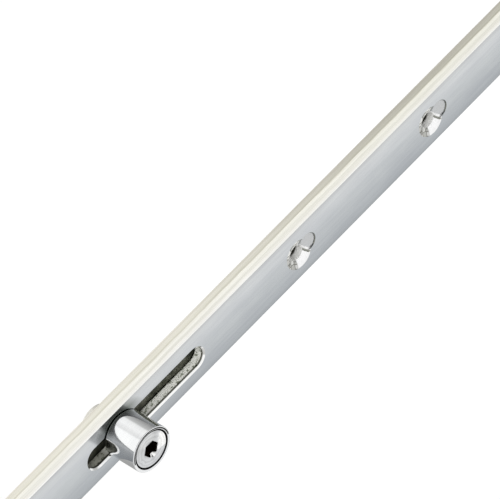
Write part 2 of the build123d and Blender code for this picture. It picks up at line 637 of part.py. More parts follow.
def make_latch():
    """The roller latch: a carrier with two ears, its axle, roller, stem, clip and spring."""
    carrier_rear = FACE + LATCH_REAR
    carrier_front = FACE - LATCH_REACH
    gap_height = LATCH_HEIGHT - 2 * LATCH_EAR
    clip_y = BRIDGE_FRONT + BRIDGE_THICK + BEARING_GAP
    with BuildPart() as carrier:
        with BuildSketch(level(LATCH_Z - LATCH_HEIGHT / 2)):
            with Locations((0, (carrier_front + carrier_rear) / 2)):
                Rectangle(LATCH_WIDTH, carrier_rear - carrier_front)
        extrude(amount=LATCH_HEIGHT)
        fillet(
            carrier.edges().filter_by(Axis.Z).group_by(Axis.Y)[0], LATCH_WIDTH / 2 - RUN_GAP
        )
        with BuildSketch(level(LATCH_Z - gap_height / 2)):
            with Locations((0, LATCH_AXLE_Y)):
                Circle(LATCH_ROLLER / 2 + 2 * RUN_GAP)
                with Locations((0, -LATCH_ROLLER / 2)):
                    Rectangle(LATCH_WIDTH, LATCH_ROLLER)
        extrude(amount=gap_height, mode=Mode.SUBTRACT)
        with BuildSketch(level(LATCH_Z - LATCH_HEIGHT / 2)):
            with Locations((0, LATCH_AXLE_Y)):
                Circle(LATCH_AXLE / 2)
        extrude(amount=LATCH_HEIGHT, mode=Mode.SUBTRACT)
        with BuildSketch(front(carrier_rear)):
            with Locations((0, LATCH_Z)):
                Circle(STEM / 2)
        extrude(amount=STEM, mode=Mode.SUBTRACT)
    save(carrier, "latch_carrier")

    with BuildPart() as axle:
        with BuildSketch(level(LATCH_Z - LATCH_HEIGHT / 2)):
            with Locations((0, LATCH_AXLE_Y)):
                Circle(LATCH_AXLE / 2)
        extrude(amount=LATCH_HEIGHT)
    save(axle, "latch_axle")

    with BuildPart() as roller:
        with BuildSketch(level(LATCH_Z - gap_height / 2 + RUN_GAP)):
            with Locations((0, LATCH_AXLE_Y)):
                Circle(LATCH_ROLLER / 2)
        extrude(amount=gap_height - 2 * RUN_GAP)
        fillet(roller.edges().filter_by(GeomType.CIRCLE), 2 * EDGE_BREAK)
        with BuildSketch(level(LATCH_Z - gap_height / 2)):
            with Locations((0, LATCH_AXLE_Y)):
                Circle(LATCH_AXLE / 2 + BEARING_GAP)
        extrude(amount=gap_height, mode=Mode.SUBTRACT)
    save(roller, "latch_roller")

    with BuildPart() as stem:
        with BuildSketch(front(carrier_rear)):
            with Locations((0, LATCH_Z)):
                Circle(STEM / 2)
        extrude(amount=STEM)
        with BuildSketch(front(carrier_rear)):
            with Locations((0, LATCH_Z)):
                Circle(STEM / 2)
        extrude(amount=-STEM_LENGTH)
        chamfer(stem.faces().sort_by(Axis.Y)[-1].edges(), EDGE_BREAK)
        with BuildSketch(front(clip_y - BEARING_GAP / 2)):
            with Locations((0, LATCH_Z)):
                Circle(STEM / 2)
                Circle(CLIP_GROOVE / 2, mode=Mode.SUBTRACT)
        extrude(amount=-CLIP_THICK - BEARING_GAP, mode=Mode.SUBTRACT)
    save(stem, "latch_stem")

    with BuildPart() as clip:
        with BuildSketch(front(clip_y)):
            with Locations((0, LATCH_Z)):
                Circle(CLIP_OD / 2)
                Circle(CLIP_GROOVE / 2, mode=Mode.SUBTRACT)
            with Locations((0, LATCH_Z - CLIP_OD / 2)):
                Rectangle(CLIP_GROOVE - 2 * RUN_GAP, CLIP_OD, mode=Mode.SUBTRACT)
        extrude(amount=-CLIP_THICK)
    save(clip, "latch_clip")

    start = carrier_rear + SPRING_WIRE / 2
    run = SPRING_ROOM - SPRING_WIRE
    with BuildPart() as spring:
        with BuildLine() as coil:
            Helix(
                run / SPRING_TURNS,
                run,
                SPRING_MEAN / 2,
                center=(0, start, LATCH_Z),
                direction=(0, 1, 0),
            )
        with BuildSketch(Plane(origin=coil.line @ 0, z_dir=coil.line % 0)):
            Circle(SPRING_WIRE / 2)
        sweep(path=coil.line, is_frenet=True)
    save(spring, "latch_spring")


def turned(z, outline):
    """Turn an outline of (radius, y) points about the axis along Y at height z."""
    with BuildPart() as turning:
        with BuildSketch(level(z)):
            with BuildLine():
                Polyline(*outline, close=True)
            make_face()
        revolve(axis=Axis((0, 0, z), (0, 1, 0)))
    return turning.part


def make_cam(prefix, roller_z):
    """One roller cam: the eccentric pin, the roller on it, and the collar riveted behind."""
    pin_z = roller_z - ECCENTRIC
    roller_rear = FACE - ROLLER_LIFT
    roller_front = roller_rear - ROLLER_LENGTH
    head_front = roller_front + HEAD_SUNK
    head_rear = head_front + HEAD_THICK
    recess_floor = head_rear + BEARING_GAP
    axle_rear = FACE - ROLLER_LIFT / 2
    neck_front = axle_rear - BEARING_GAP
    neck_rear = ROD_FRONT - BEARING_GAP
    collar_front = ROD_BACK + COLLAR_GAP
    collar_rear = collar_front + COLLAR_THICK
    head_and_axle = [
        (0, head_front),
        (HEAD / 2 - EDGE_BREAK, head_front),
        (HEAD / 2, head_front + EDGE_BREAK),
        (HEAD / 2, head_rear),
        (AXLE / 2, head_rear),
        (AXLE / 2, axle_rear),
        (0, axle_rear),
    ]
    neck_and_spigot = [
        (0, neck_front),
        (NECK / 2, neck_front),
        (NECK / 2, neck_rear),
        (SPIGOT / 2, neck_rear),
        (SPIGOT / 2, collar_rear),
        (0, collar_rear),
    ]
    sleeve = [
        (AXLE / 2 + BEARING_GAP, roller_rear),
        (ROLLER / 2, roller_rear),
        (ROLLER / 2, roller_front),
        (ROLLER_RECESS / 2, roller_front),
        (ROLLER_RECESS / 2, recess_floor),
        (AXLE / 2 + BEARING_GAP, recess_floor),
    ]
    ring = [
        (SPIGOT / 2, collar_front),
        (COLLAR / 2, collar_front),
        (COLLAR / 2, collar_rear - 2 * EDGE_BREAK),
        (COLLAR / 2 - 2 * EDGE_BREAK, collar_rear),
        (SPIGOT / 2, collar_rear),
    ]

    with BuildPart() as pin:
        add(turned(roller_z, head_and_axle))
        add(turned(pin_z, neck_and_spigot))
        with BuildSketch(front(head_front)):
            with Locations((0, roller_z)):
                RegularPolygon(HEX / 2, 6, major_radius=False, rotation=30)
        extrude(amount=-HEX_DEPTH, mode=Mode.SUBTRACT)
    save(pin, f"{prefix}_cam_pin")

    with BuildPart() as roller:
        add(turned(roller_z, sleeve))
        rims = roller.edges().filter_by(GeomType.CIRCLE)
        outer = rims.filter_by(lambda edge: edge.radius > ROLLER / 2 - BEARING_GAP)
        fillet(outer, (ROLLER - ROLLER_RECESS) / 4)
    save(roller, f"{prefix}_cam_roller")

    with BuildPart() as collar:
        add(turned(pin_z, ring))
    save(collar, f"{prefix}_cam_collar")


make_faceplate()
make_guide_bushes()
make_drive_slide()
make_rod("upper_rod", SLIDE_TOP, ROD_TOP, 1, UPPER_SCREWS, UPPER_CAM_Z)
make_rod("lower_rod", SLIDE_BOTTOM, ROD_BOTTOM, -1, LOWER_SCREWS, LOWER_CAM_Z)
make_rack()
make_follower()
make_case()
make_screws()
make_deadbolt()
make_latch()
make_cam("upper", UPPER_CAM_Z)
make_cam("lower", LOWER_CAM_Z)
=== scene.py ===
import json
import math
import bpy
from mathutils import Matrix, Vector


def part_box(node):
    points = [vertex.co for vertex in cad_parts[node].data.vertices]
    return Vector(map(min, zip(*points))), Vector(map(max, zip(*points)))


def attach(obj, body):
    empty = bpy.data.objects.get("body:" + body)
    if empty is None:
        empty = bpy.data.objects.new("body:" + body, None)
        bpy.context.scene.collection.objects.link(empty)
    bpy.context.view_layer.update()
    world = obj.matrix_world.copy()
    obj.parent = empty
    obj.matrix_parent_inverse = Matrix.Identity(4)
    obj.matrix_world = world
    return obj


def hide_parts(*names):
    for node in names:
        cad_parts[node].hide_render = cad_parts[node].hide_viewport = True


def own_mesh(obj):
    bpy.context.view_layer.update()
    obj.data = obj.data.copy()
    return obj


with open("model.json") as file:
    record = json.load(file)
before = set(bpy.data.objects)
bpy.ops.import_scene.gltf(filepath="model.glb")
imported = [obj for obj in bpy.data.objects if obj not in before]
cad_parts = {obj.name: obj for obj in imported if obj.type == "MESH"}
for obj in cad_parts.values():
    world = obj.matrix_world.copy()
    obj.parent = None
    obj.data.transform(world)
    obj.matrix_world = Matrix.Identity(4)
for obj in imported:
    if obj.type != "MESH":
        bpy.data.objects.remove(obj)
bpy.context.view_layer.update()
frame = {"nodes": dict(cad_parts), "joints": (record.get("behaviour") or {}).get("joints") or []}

MM = 0.001
JOINTS = {joint["name"]: joint for joint in frame["joints"]}

# Sizes of the lock, in metres, as the parts have them
FACE_WIDTH = 16.0 * MM
FACE_THICK = 3.4 * MM
FACE_ASIDE = 0.45 * MM
FACE_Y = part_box("faceplate")[0][1]
FACE_BACK_Y = FACE_Y + FACE_THICK
FACE_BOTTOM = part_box("faceplate")[0][2]
FACE_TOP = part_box("faceplate")[1][2]
EDGE_BREAK = 0.2 * MM
ROD_ROUND = 0.2 * MM
ROD_THICK = 2.7 * MM
RUN_GAP = 0.3 * MM
CAM_SLOT_WIDTH = 6.8 * MM
CAM_SLOT_RIM = 0.44 * MM
CAM_SLOT_ABOVE = 14.0 * MM
CAM_SLOT_BELOW = 30.9 * MM
SCREW_HOLE = 4.6 * MM
SCREW_HEAD = 9.2 * MM
RELIEF = 5.9 * MM
DISH = 6.2 * MM
DISH_DEPTH = 0.45 * MM
CONE_DEPTH = 1.05 * MM
RELIEF_DEPTH = 0.32 * MM
RELIEF_BELOW = 3.9 * MM
RELIEF_ASIDE = 1.0 * MM
CASE_SCREW_HOLE = 4.1 * MM
CASE_SCREW_HEAD = 8.1 * MM
CYLINDER_SCREW = 5.2 * MM
CYLINDER_SCREW_HEAD = 9.4 * MM
END_MARGIN = 22.4 * MM
CYLINDER_Z = -92.0 * MM
ROLLER = 13.5 * MM
ROLLER_RECESS = 11.7 * MM
HEAD = 10.8 * MM
HEAD_THICK = 2.5 * MM
HEX = 4.5 * MM
HEX_DEPTH = 3.5 * MM
SOCKET_SHARE = 0.62
GLINT_CORNER = 1.7 * MM
AXLE = 8.0 * MM
NECK = 6.2 * MM
SPIGOT = 5.6 * MM
ROLLER_CLOSER = 0.2 * MM
COLLAR = 10.4 * MM
COLLAR_ASIDE = 2.3 * MM
COLLAR_SHY = 0.1 * MM
BEARING_GAP = 0.05 * MM
AXLE_LAP = 0.22 * MM
NECK_LAP = 0.1 * MM
SPIGOT_LAP = 0.15 * MM
ROLLER_Z = JOINTS["lower_roller_spin"]["pos_m"][2]
ROLLER_ROUND = 0.24 * MM
HEAD_ROUND = 0.1 * MM
COLLAR_ROUND = 0.4 * MM

# How far the cutters stand proud of what they cut
THROUGH = 1.0 * MM
CUT_PROUD = 0.4 * MM
DISH_PROUD = 0.2 * MM
GLINT_PROUD = 0.3 * MM

# Mesh work: sides of round forms, and the angles and reach for merging and smooth shading
STRIP_SIDES = 98
HOLE_SIDES = 66
ROLLER_SIDES = 128
PIN_SIDES = 96
GLINT_SIDES = 20
SMOOTH_ANGLE = math.radians(35)
FLAT_ANGLE = math.radians(0.5)
MERGE_REACH = 0.02 * MM
FLAT_FACE_WEIGHT = 100

# How much of a face's normal points along an axis, where its paint depends on that
STRAIGHT_ON = 0.9
HALF_TURNED = 0.5
SLANTED = 0.3
HARDLY = 0.2

# Marks in the finish: a screw hole's facets, and its ledge in painted highlight and shade, its
# bore with painted shade further in, the painted dark reflection of the roller beside its foot,
# and the rod edge's greying further down
WHITE = (1.0, 1.0, 1.0)
BLACK = (0.0, 0.0, 0.0)
FACET_SCALE = 620.0
LEDGE_TURN = (0.587, -0.81)
LEDGE_FROM = 0.95 * MM
LEDGE_SPAN = 1.75 * MM
LEDGE_OUTLINE = 2.62 * MM
LEDGE_REACH = 3.6 * MM
BORE_BRIGHT = 0.8 * MM
# Where the painted dark reflection of the roller lies on the strip's face, and its colour
FOOT_REACH = 10.5 * MM
FOOT_SIDE = (2.0 * MM, 6.0 * MM)
FOOT_PAINTED_REFLECTION = (0.26, 0.28, 0.24)
# How far above the lower roller the painted shade at its slot's end reaches
SHADE_REACH = 20.0 * MM
# Where a rod edge starts to turn greyer below the lower roller, and where it is fully greyer
DARKEN_FROM = 32.0 * MM
DARKEN_FULL = 115.0 * MM


# Mesh work


def deselect():
    """Nothing selected, so that the next operator acts on its own piece alone."""
    for thing in bpy.context.selected_objects:
        thing.select_set(False)


def take(piece):
    """Select one piece alone and make it active."""
    deselect()
    piece.select_set(True)
    bpy.context.view_layer.objects.active = piece


def settle(piece, name):
    """Name a new piece and put its place and turn into its mesh."""
    piece.name = name
    piece.data.name = name
    take(piece)
    bpy.ops.object.transform_apply(location=True, rotation=True, scale=True)
    return piece


def pick(piece, chosen):
    """Select only the vertices of a piece whose places the test accepts."""
    take(piece)
    bpy.ops.object.mode_set(mode="EDIT")
    bpy.ops.mesh.select_all(action="DESELECT")
    bpy.ops.object.mode_set(mode="OBJECT")
    for vertex in piece.data.vertices:
        vertex.select = chosen(vertex.co)


def bar(name, low, high):
    """A block between two corners."""
    deselect()
    middle = [(a + b) / 2 for a, b in zip(low, high)]
    bpy.ops.mesh.primitive_cube_add(size=1, location=middle)
    piece = bpy.context.active_object
    piece.scale = [b - a for a, b in zip(low, high)]
    return settle(piece, name)


def round_bar(name, radius, y_front, y_rear, x=0.0, z=0.0, sides=HOLE_SIDES, far_radius=None):
    """A round bar along Y, or a cone where the rear has a radius of its own."""
    deselect()
    bpy.ops.mesh.primitive_cone_add(
        vertices=sides,
        radius1=radius,
        radius2=radius if far_radius is None else far_radius,
        depth=y_rear - y_front,
        location=(x, (y_front + y_rear) / 2, z),
        rotation=(-math.pi / 2, 0, 0),
    )
    return settle(bpy.context.active_object, name)


def long_slot(
    name, width, y_front, y_rear, z_low, z_high, sides=HOLE_SIDES, x=0.0, far_width=None
):
    """A round bar or cone along Y, stretched along Z into a shape with two round ends."""
    middle = (z_low + z_high) / 2
    far_radius = None if far_width is None else far_width / 2
    piece = round_bar(name, width / 2, y_front, y_rear, x, middle, sides, far_radius)
    stretch = (z_high - z_low - width) / 2
    for direction in (1, -1):
        pick(piece, lambda place: (place.z - middle) * direction > 0)
        bpy.ops.object.mode_set(mode="EDIT")
        bpy.ops.transform.translate(value=(0, 0, stretch * direction))
        bpy.ops.object.mode_set(mode="OBJECT")
    return piece


def turned(name, z, *rings):
    """A closed form turned round an axis along Y, through rings given as radius and depth."""
    deselect()
    radius, depth = rings[0]
    bpy.ops.mesh.primitive_circle_add(
        vertices=HOLE_SIDES,
        radius=radius,
        fill_type="NGON",
        location=(0, depth, z),
        rotation=(-math.pi / 2, 0, 0),
    )
    piece = settle(bpy.context.active_object, name)
    bpy.ops.object.mode_set(mode="EDIT")
    bpy.ops.mesh.select_all(action="SELECT")
    for wider, deeper in rings[1:]:
        step = (0, deeper - depth, 0)
        bpy.ops.mesh.extrude_region_move(TRANSFORM_OT_translate={"value": step})
        ratio = wider / radius
        bpy.ops.transform.resize(value=(ratio, 1, ratio), center_override=(0, deeper, z))
        radius, depth = wider, deeper
    bpy.ops.mesh.select_all(action="SELECT")
    bpy.ops.mesh.normals_make_consistent(inside=False)
    bpy.ops.object.mode_set(mode="OBJECT")
    return piece


def add_modifier(piece, kind, **settings):
    """Give a piece a modifier and apply it."""
    take(piece)
    modifier = piece.modifiers.new(kind.title(), kind)
    for key, value in settings.items():
        setattr(modifier, key, value)
    bpy.ops.object.modifier_apply(modifier=modifier.name)


def cut(piece, *cutters):
    """Take the cutters out of a piece, and delete them."""
    for cutter in cutters:
        add_modifier(piece, "BOOLEAN", operation="DIFFERENCE", solver="EXACT", object=cutter)
        bpy.data.objects.remove(cutter)


def fuse(piece, *others):
    """Join pieces into the first as one closed form."""
    for other in others:
        add_modifier(piece, "BOOLEAN", operation="UNION", solver="EXACT", object=other)
        bpy.data.objects.remove(other)


def soften(piece, width, segments=3):
    """Round a piece's sharp edges and shade it smooth between them."""
    add_modifier(
        piece,
        "BEVEL",
        width=width,
        segments=segments,
        limit_method="ANGLE",
        angle_limit=SMOOTH_ANGLE,
    )
    smooth(piece)


def smooth(piece):
    """Shade a piece smooth between its sharp edges, with its large flat faces kept flat."""
    take(piece)
    bpy.ops.object.shade_smooth_by_angle(angle=SMOOTH_ANGLE)
    add_modifier(piece, "WEIGHTED_NORMAL", keep_sharp=True, weight=FLAT_FACE_WEIGHT)


def dressed_copy(node):
    """A copy of a CAD node's mesh with its triangles merged, to be finished as a piece."""
    source = frame["nodes"][node]
    piece = bpy.data.objects.new(f"{node}_dressed", source.data.copy())
    bpy.context.scene.collection.objects.link(piece)
    piece.matrix_world = source.matrix_world
    piece = settle(piece, f"{node}_dressed")
    piece.data.materials.clear()
    take(piece)
    bpy.ops.object.mode_set(mode="EDIT")
    bpy.ops.mesh.select_all(action="SELECT")
    bpy.ops.mesh.remove_doubles(threshold=MERGE_REACH)
    bpy.ops.mesh.dissolve_limited(angle_limit=FLAT_ANGLE)
    bpy.ops.mesh.select_all(action="DESELECT")
    bpy.ops.object.mode_set(mode="OBJECT")
    return piece


def finish_piece(piece, body, slot, node, *materials):
    """Put a piece on its body and in place of its CAD node, with its materials; its slot is not
    used.
    """
    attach(piece, body)
    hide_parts(node)
    if not piece.data.materials:
        for material in materials:
            piece.data.materials.append(material)


def paint(piece, materials, choose):
    """Give each face the material whose number choose returns for its centre and normal."""
    piece.data.materials.clear()
    for material in materials:
        piece.data.materials.append(material)
    for face in piece.data.polygons:
        face.material_index = choose(face.center, face.normal)


# Shared effects, as node groups


def new_group(name, inputs, outputs):
    """A shader node group with named sockets, and its two end nodes."""
    group = bpy.data.node_groups.new(name, "ShaderNodeTree")
    for label, kind, default in inputs:
        socket = group.interface.new_socket(name=label, in_out="INPUT", socket_type=kind)
        if default is not None:
            socket.default_value = default
    for label, kind in outputs:
        group.interface.new_socket(name=label, in_out="OUTPUT", socket_type=kind)
    start = group.nodes.new("NodeGroupInput")
    end = group.nodes.new("NodeGroupOutput")
    return group, start, end


def math_node(tree, operation, first, second=None):
    """A Math node on sockets or plain numbers, and its output."""
    node = tree.nodes.new("ShaderNodeMath")
    node.operation = operation
    for index, value in enumerate((first, second)):
        if value is None:
            continue
        if isinstance(value, (int, float)):
            node.inputs[index].default_value = value
        else:
            tree.links.new(value, node.inputs[index])
    return node.outputs[0]


def ramp(tree, factor, *stops):
    """A colour ramp over a factor, from (position, colour) stops, and its colour output."""
    node = tree.nodes.new("ShaderNodeValToRGB")
    band = node.color_ramp
    while len(band.elements) < len(stops):
        band.elements.new(0.5)
    for element, (position, colour) in zip(band.elements, stops):
        element.position = position
        element.color = (*colour, 1.0)
    tree.links.new(factor, node.inputs["Fac"])
    return node.outputs["Color"]


def spread(tree, value, low, high, to_low, to_high):
    """Map a value from one range to another, and its output."""
    node = tree.nodes.new("ShaderNodeMapRange")
    node.inputs["From Min"].default_value = low
    node.inputs["From Max"].default_value = high
    node.inputs["To Min"].default_value = to_low
    node.inputs["To Max"].default_value = to_high
    tree.links.new(value, node.inputs["Value"])
    return node.outputs["Result"]


def blend_colours(tree, factor, first, second, mode="MIX"):
    """Mix two colour sockets or colours, and its output."""
    node = tree.nodes.new("ShaderNodeMix")
    node.data_type = "RGBA"
    node.blend_type = mode
    if isinstance(factor, float):
        node.inputs["Factor"].default_value = factor
    else:
        tree.links.new(factor, node.inputs["Factor"])
    for socket, value in ((node.inputs[6], first), (node.inputs[7], second)):
        if isinstance(value, tuple):
            socket.default_value = (*value, 1.0)
        else:
            tree.links.new(value, socket)
    return node.outputs[2]


def tint(tree, first, second):
    """Multiply two colour sockets or colours, and its output."""
    return blend_colours(tree, 1.0, first, second, "MULTIPLY")


def square_of(tree, across, along):
    """The square of a distance from its two parts."""
    first = math_node(tree, "MULTIPLY", across, across)
    return math_node(tree, "ADD", first, math_node(tree, "MULTIPLY", along, along))


def axes_of(tree, place):
    """A place taken apart, as outputs named X, Y and Z."""
    node = tree.nodes.new("ShaderNodeSeparateXYZ")
    tree.links.new(place, node.inputs[0])
    return node.outputs


def centred(tree, place, centre):
    """Coordinates counted from a centre given as X and Z."""
    node = tree.nodes.new("ShaderNodeMapping")
    node.inputs["Location"].default_value = (-centre[0], 0.0, -centre[1])
    tree.links.new(place, node.inputs["Vector"])
    return node.outputs[0]


def make_grain_group():
    """Rolled or brushed metal: fine lines along one axis, and soft cloudy patches."""
    group, start, end = new_group(
        "metal_grain",
        [
            ("Vector", "NodeSocketVector", None),
            ("Line Scale", "NodeSocketFloat", 900.0),
            ("Stretch", "NodeSocketVector", (1.0, 1.0, 0.05)),
            ("Cloud Scale", "NodeSocketFloat", 60.0),
        ],
        [("Lines", "NodeSocketFloat"), ("Clouds", "NodeSocketFloat")],
    )
    stretch = group.nodes.new("ShaderNodeVectorMath")
    stretch.operation = "MULTIPLY"
    group.links.new(start.outputs["Vector"], stretch.inputs[0])
    group.links.new(start.outputs["Stretch"], stretch.inputs[1])
    lines = group.nodes.new("ShaderNodeTexNoise")
    lines.inputs["Detail"].default_value = 4.0
    group.links.new(stretch.outputs[0], lines.inputs["Vector"])
    group.links.new(start.outputs["Line Scale"], lines.inputs["Scale"])
    clouds = group.nodes.new("ShaderNodeTexNoise")
    clouds.inputs["Detail"].default_value = 3.0
    group.links.new(start.outputs["Vector"], clouds.inputs["Vector"])
    group.links.new(start.outputs["Cloud Scale"], clouds.inputs["Scale"])
    group.links.new(lines.outputs["Fac"], end.inputs["Lines"])
    group.links.new(clouds.outputs["Fac"], end.inputs["Clouds"])
    return group


def make_speckle_group():
    """Torn metal, as a punch leaves it on the wall of a slot: small bright and dark flakes."""
    group, start, end = new_group(
        "torn_metal",
        [("Vector", "NodeSocketVector", None), ("Scale", "NodeSocketFloat", 1400.0)],
        [("Flakes", "NodeSocketFloat"), ("Pits", "NodeSocketFloat")],
    )
    flakes = group.nodes.new("ShaderNodeTexVoronoi")
    flakes.feature = "F1"
    group.links.new(start.outputs["Vector"], flakes.inputs["Vector"])
    group.links.new(start.outputs["Scale"], flakes.inputs["Scale"])
    pits = group.nodes.new("ShaderNodeTexNoise")
    pits.inputs["Detail"].default_value = 5.0
    pits.inputs["Roughness"].default_value = 0.7
    group.links.new(start.outputs["Vector"], pits.inputs["Vector"])
    group.links.new(start.outputs["Scale"], pits.inputs["Scale"])
    group.links.new(flakes.outputs["Distance"], end.inputs["Flakes"])
    group.links.new(pits.outputs["Fac"], end.inputs["Pits"])
    return group


def make_pressed_group():
    """Pressed metal round a screw hole's centre: facets and seams, a painted white highlight and
    painted shade round its sides, and a ledge drawn only in painted highlight and shade.
    """
    group, start, end = new_group(
        "pressed_hole",
        [("Vector", "NodeSocketVector", None)],
        [("Color", "NodeSocketColor"), ("Dents", "NodeSocketFloat")],
    )
    place = start.outputs["Vector"]
    cells = group.nodes.new("ShaderNodeTexVoronoi")
    cells.inputs["Scale"].default_value = FACET_SCALE
    group.links.new(place, cells.inputs["Vector"])
    facets = ramp(
        group,
        axes_of(group, cells.outputs["Color"])["X"],
        (0.1, (0.56, 0.56, 0.54)),
        (0.4, (0.84, 0.84, 0.82)),
        (0.6, WHITE),
    )
    seams = group.nodes.new("ShaderNodeTexVoronoi")
    seams.feature = "DISTANCE_TO_EDGE"
    seams.inputs["Scale"].default_value = FACET_SCALE
    group.links.new(place, seams.inputs["Vector"])
    lines = ramp(group, seams.outputs["Distance"], (0.03, (0.3, 0.3, 0.27)), (0.1, WHITE))
    broken = tint(group, facets, lines)
    axes = axes_of(group, place)
    angle = math_node(group, "ARCTAN2", axes["Z"], axes["X"])
    turn = spread(group, angle, -math.pi, math.pi, 0.0, 1.0)
    # Painted highlight and shade by the angle round the hole: white sides, grey between, and a
    # dark band beside one white side.
    tones = ramp(
        group,
        turn,
        (0.33, WHITE),
        (0.36, (0.86, 0.86, 0.84)),
        (0.66, (0.86, 0.86, 0.84)),
        (0.70, WHITE),
        (0.75, WHITE),
        (0.77, (0.42, 0.42, 0.40)),
        (0.84, (0.80, 0.80, 0.78)),
        (0.93, (0.66, 0.66, 0.65)),
        (0.95, WHITE),
    )
    where = ramp(group, turn, (0.33, BLACK), (0.36, WHITE), (0.92, WHITE), (0.95, BLACK))
    toned = blend_colours(group, where, WHITE, broken)
    toned = tint(group, tones, toned)
    along_x = math_node(group, "MULTIPLY", axes["X"], LEDGE_TURN[0])
    along_z = math_node(group, "MULTIPLY", axes["Z"], LEDGE_TURN[1])
    reach = math_node(group, "ADD", along_x, along_z)
    level = spread(group, reach, LEDGE_FROM, LEDGE_FROM + LEDGE_SPAN, 0.0, 1.0)
    # The ledge is not modelled: a dark band of painted shade where its step faces away from the
    # light, then a white painted highlight, then grey.
    ledge_painted_light = ramp(
        group,
        level,
        (0.10, (0.17, 0.175, 0.15)),
        (0.42, (0.36, 0.365, 0.33)),
        (0.50, WHITE),
        (0.78, WHITE),
        (0.86, (0.58, 0.59, 0.60)),
    )
    # Painted shade: a dark line along the ledge's outline.
    off_x = math_node(group, "SUBTRACT", axes["X"], RELIEF_ASIDE)
    off_z = math_node(group, "ADD", axes["Z"], RELIEF_BELOW)
    square = square_of(group, off_x, off_z)
    edge = math_node(group, "GREATER_THAN", square, LEDGE_OUTLINE * LEDGE_OUTLINE)
    high = math_node(group, "GREATER_THAN", level, 0.86)
    outline = math_node(group, "MULTIPLY", edge, high)
    ledge_painted_light = blend_colours(group, outline, ledge_painted_light, (0.26, 0.27, 0.27))
    inside = math_node(group, "LESS_THAN", square, LEDGE_REACH * LEDGE_REACH)
    past = math_node(group, "GREATER_THAN", level, 0.08)
    on_ledge = math_node(group, "MULTIPLY", inside, past)
    group.links.new(blend_colours(group, on_ledge, toned, ledge_painted_light), end.inputs["Color"])
    group.links.new(cells.outputs["Distance"], end.inputs["Dents"])
    return group


GRAIN = make_grain_group()
TORN = make_speckle_group()
PRESSED = make_pressed_group()


# Materials


def new_material(name, metallic=1.0):
    """A material with a Principled shader of its own and object coordinates."""
    material = bpy.data.materials.new(name)
    material.use_nodes = True
    tree = material.node_tree
    shader = tree.nodes["Principled BSDF"]
    shader.inputs["Metallic"].default_value = metallic
    place = tree.nodes.new("ShaderNodeTexCoord").outputs["Object"]
    return material, tree, shader, place


def grain_of(tree, place, lines, stretch, clouds):
    """Place the grain group in a material, and return its lines and clouds."""
    node = tree.nodes.new("ShaderNodeGroup")
    node.node_tree = GRAIN
    tree.links.new(place, node.inputs["Vector"])
    node.inputs["Line Scale"].default_value = lines
    node.inputs["Stretch"].default_value = stretch
    node.inputs["Cloud Scale"].default_value = clouds
    return node.outputs["Lines"], node.outputs["Clouds"]


def bump(tree, shader, height, strength, distance):
    """Raise a material's surface by a height."""
    node = tree.nodes.new("ShaderNodeBump")
    node.inputs["Strength"].default_value = strength
    node.inputs["Distance"].default_value = distance
    tree.links.new(height, node.inputs["Height"])
    tree.links.new(node.outputs["Normal"], shader.inputs["Normal"])


def plated_steel(
    name, dark, light, rough=(0.22, 0.34), stretch=(1.0, 1.0, 0.04), lines=900.0, metallic=1.0
):
    """Zinc-plated steel: a mottled sheen with fine rolling lines."""
    material, tree, shader, place = new_material(name, metallic)
    line, cloud = grain_of(tree, place, lines, stretch, 70.0)
    mixed = math_node(tree, "ADD", math_node(tree, "MULTIPLY", line, 0.5), cloud)
    colour = ramp(tree, math_node(tree, "MULTIPLY", mixed, 0.667), (0.35, dark), (0.65, light))
    tree.links.new(colour, shader.inputs["Base Color"])
    tree.links.new(spread(tree, cloud, 0.3, 0.7, *rough), shader.inputs["Roughness"])
    bump(tree, shader, line, 0.15, 0.00002)
    return material


def strip_face_steel():
    """The faceplate's front: satin galvanised steel, painted lighter towards +X as painted light,
    with a painted dark reflection of the roller beside its foot.
    """
    material, tree, shader, place = new_material("satin_strip_face")
    line, cloud = grain_of(tree, place, 1100.0, (1.0, 1.0, 0.06), 90.0)
    axes = axes_of(tree, place)
    low = FACE_ASIDE - FACE_WIDTH / 2
    across = spread(tree, axes["X"], low, low + FACE_WIDTH, 0.0, 1.0)
    # Painted light: the face grows lighter towards +X, the side the light falls from.
    painted_gradient = ramp(
        tree,
        across,
        (0.0, (0.37, 0.39, 0.41)),
        (0.08, (0.43, 0.455, 0.48)),
        (0.2, (0.465, 0.49, 0.515)),
        (0.47, (0.545, 0.57, 0.59)),
        (0.6, (0.57, 0.595, 0.615)),
        (0.77, (0.64, 0.66, 0.68)),
        (0.9, (0.67, 0.69, 0.70)),
        (0.99, (0.58, 0.59, 0.60)),
    )
    shade = ramp(tree, line, (0.35, (0.93, 0.93, 0.94)), (0.65, WHITE))
    toned = tint(tree, painted_gradient, shade)
    patches = ramp(tree, cloud, (0.35, (0.95, 0.95, 0.96)), (0.65, WHITE))
    toned = tint(tree, toned, patches)
    # Painted reflection: the face is darkened beside the roller's foot on its +X side, where the
    # roller's dark flank would show in the satin face.
    rise = math_node(tree, "SUBTRACT", axes["Z"], ROLLER_Z)
    square = square_of(tree, axes["X"], rise)
    near = spread(tree, square, (ROLLER / 2) ** 2, FOOT_REACH**2, 1.0, 0.0)
    side = spread(tree, axes["X"], FOOT_SIDE[0], FOOT_SIDE[1], 0.0, 1.0)
    darkening = math_node(tree, "MULTIPLY", near, side)
    painted_dark = tint(tree, toned, FOOT_PAINTED_REFLECTION)
    toned = blend_colours(tree, darkening, toned, painted_dark)
    tree.links.new(toned, shader.inputs["Base Color"])
    tree.links.new(spread(tree, cloud, 0.3, 0.7, 0.12, 0.18), shader.inputs["Roughness"])
    bump(tree, shader, line, 0.12, 0.00002)
    return material


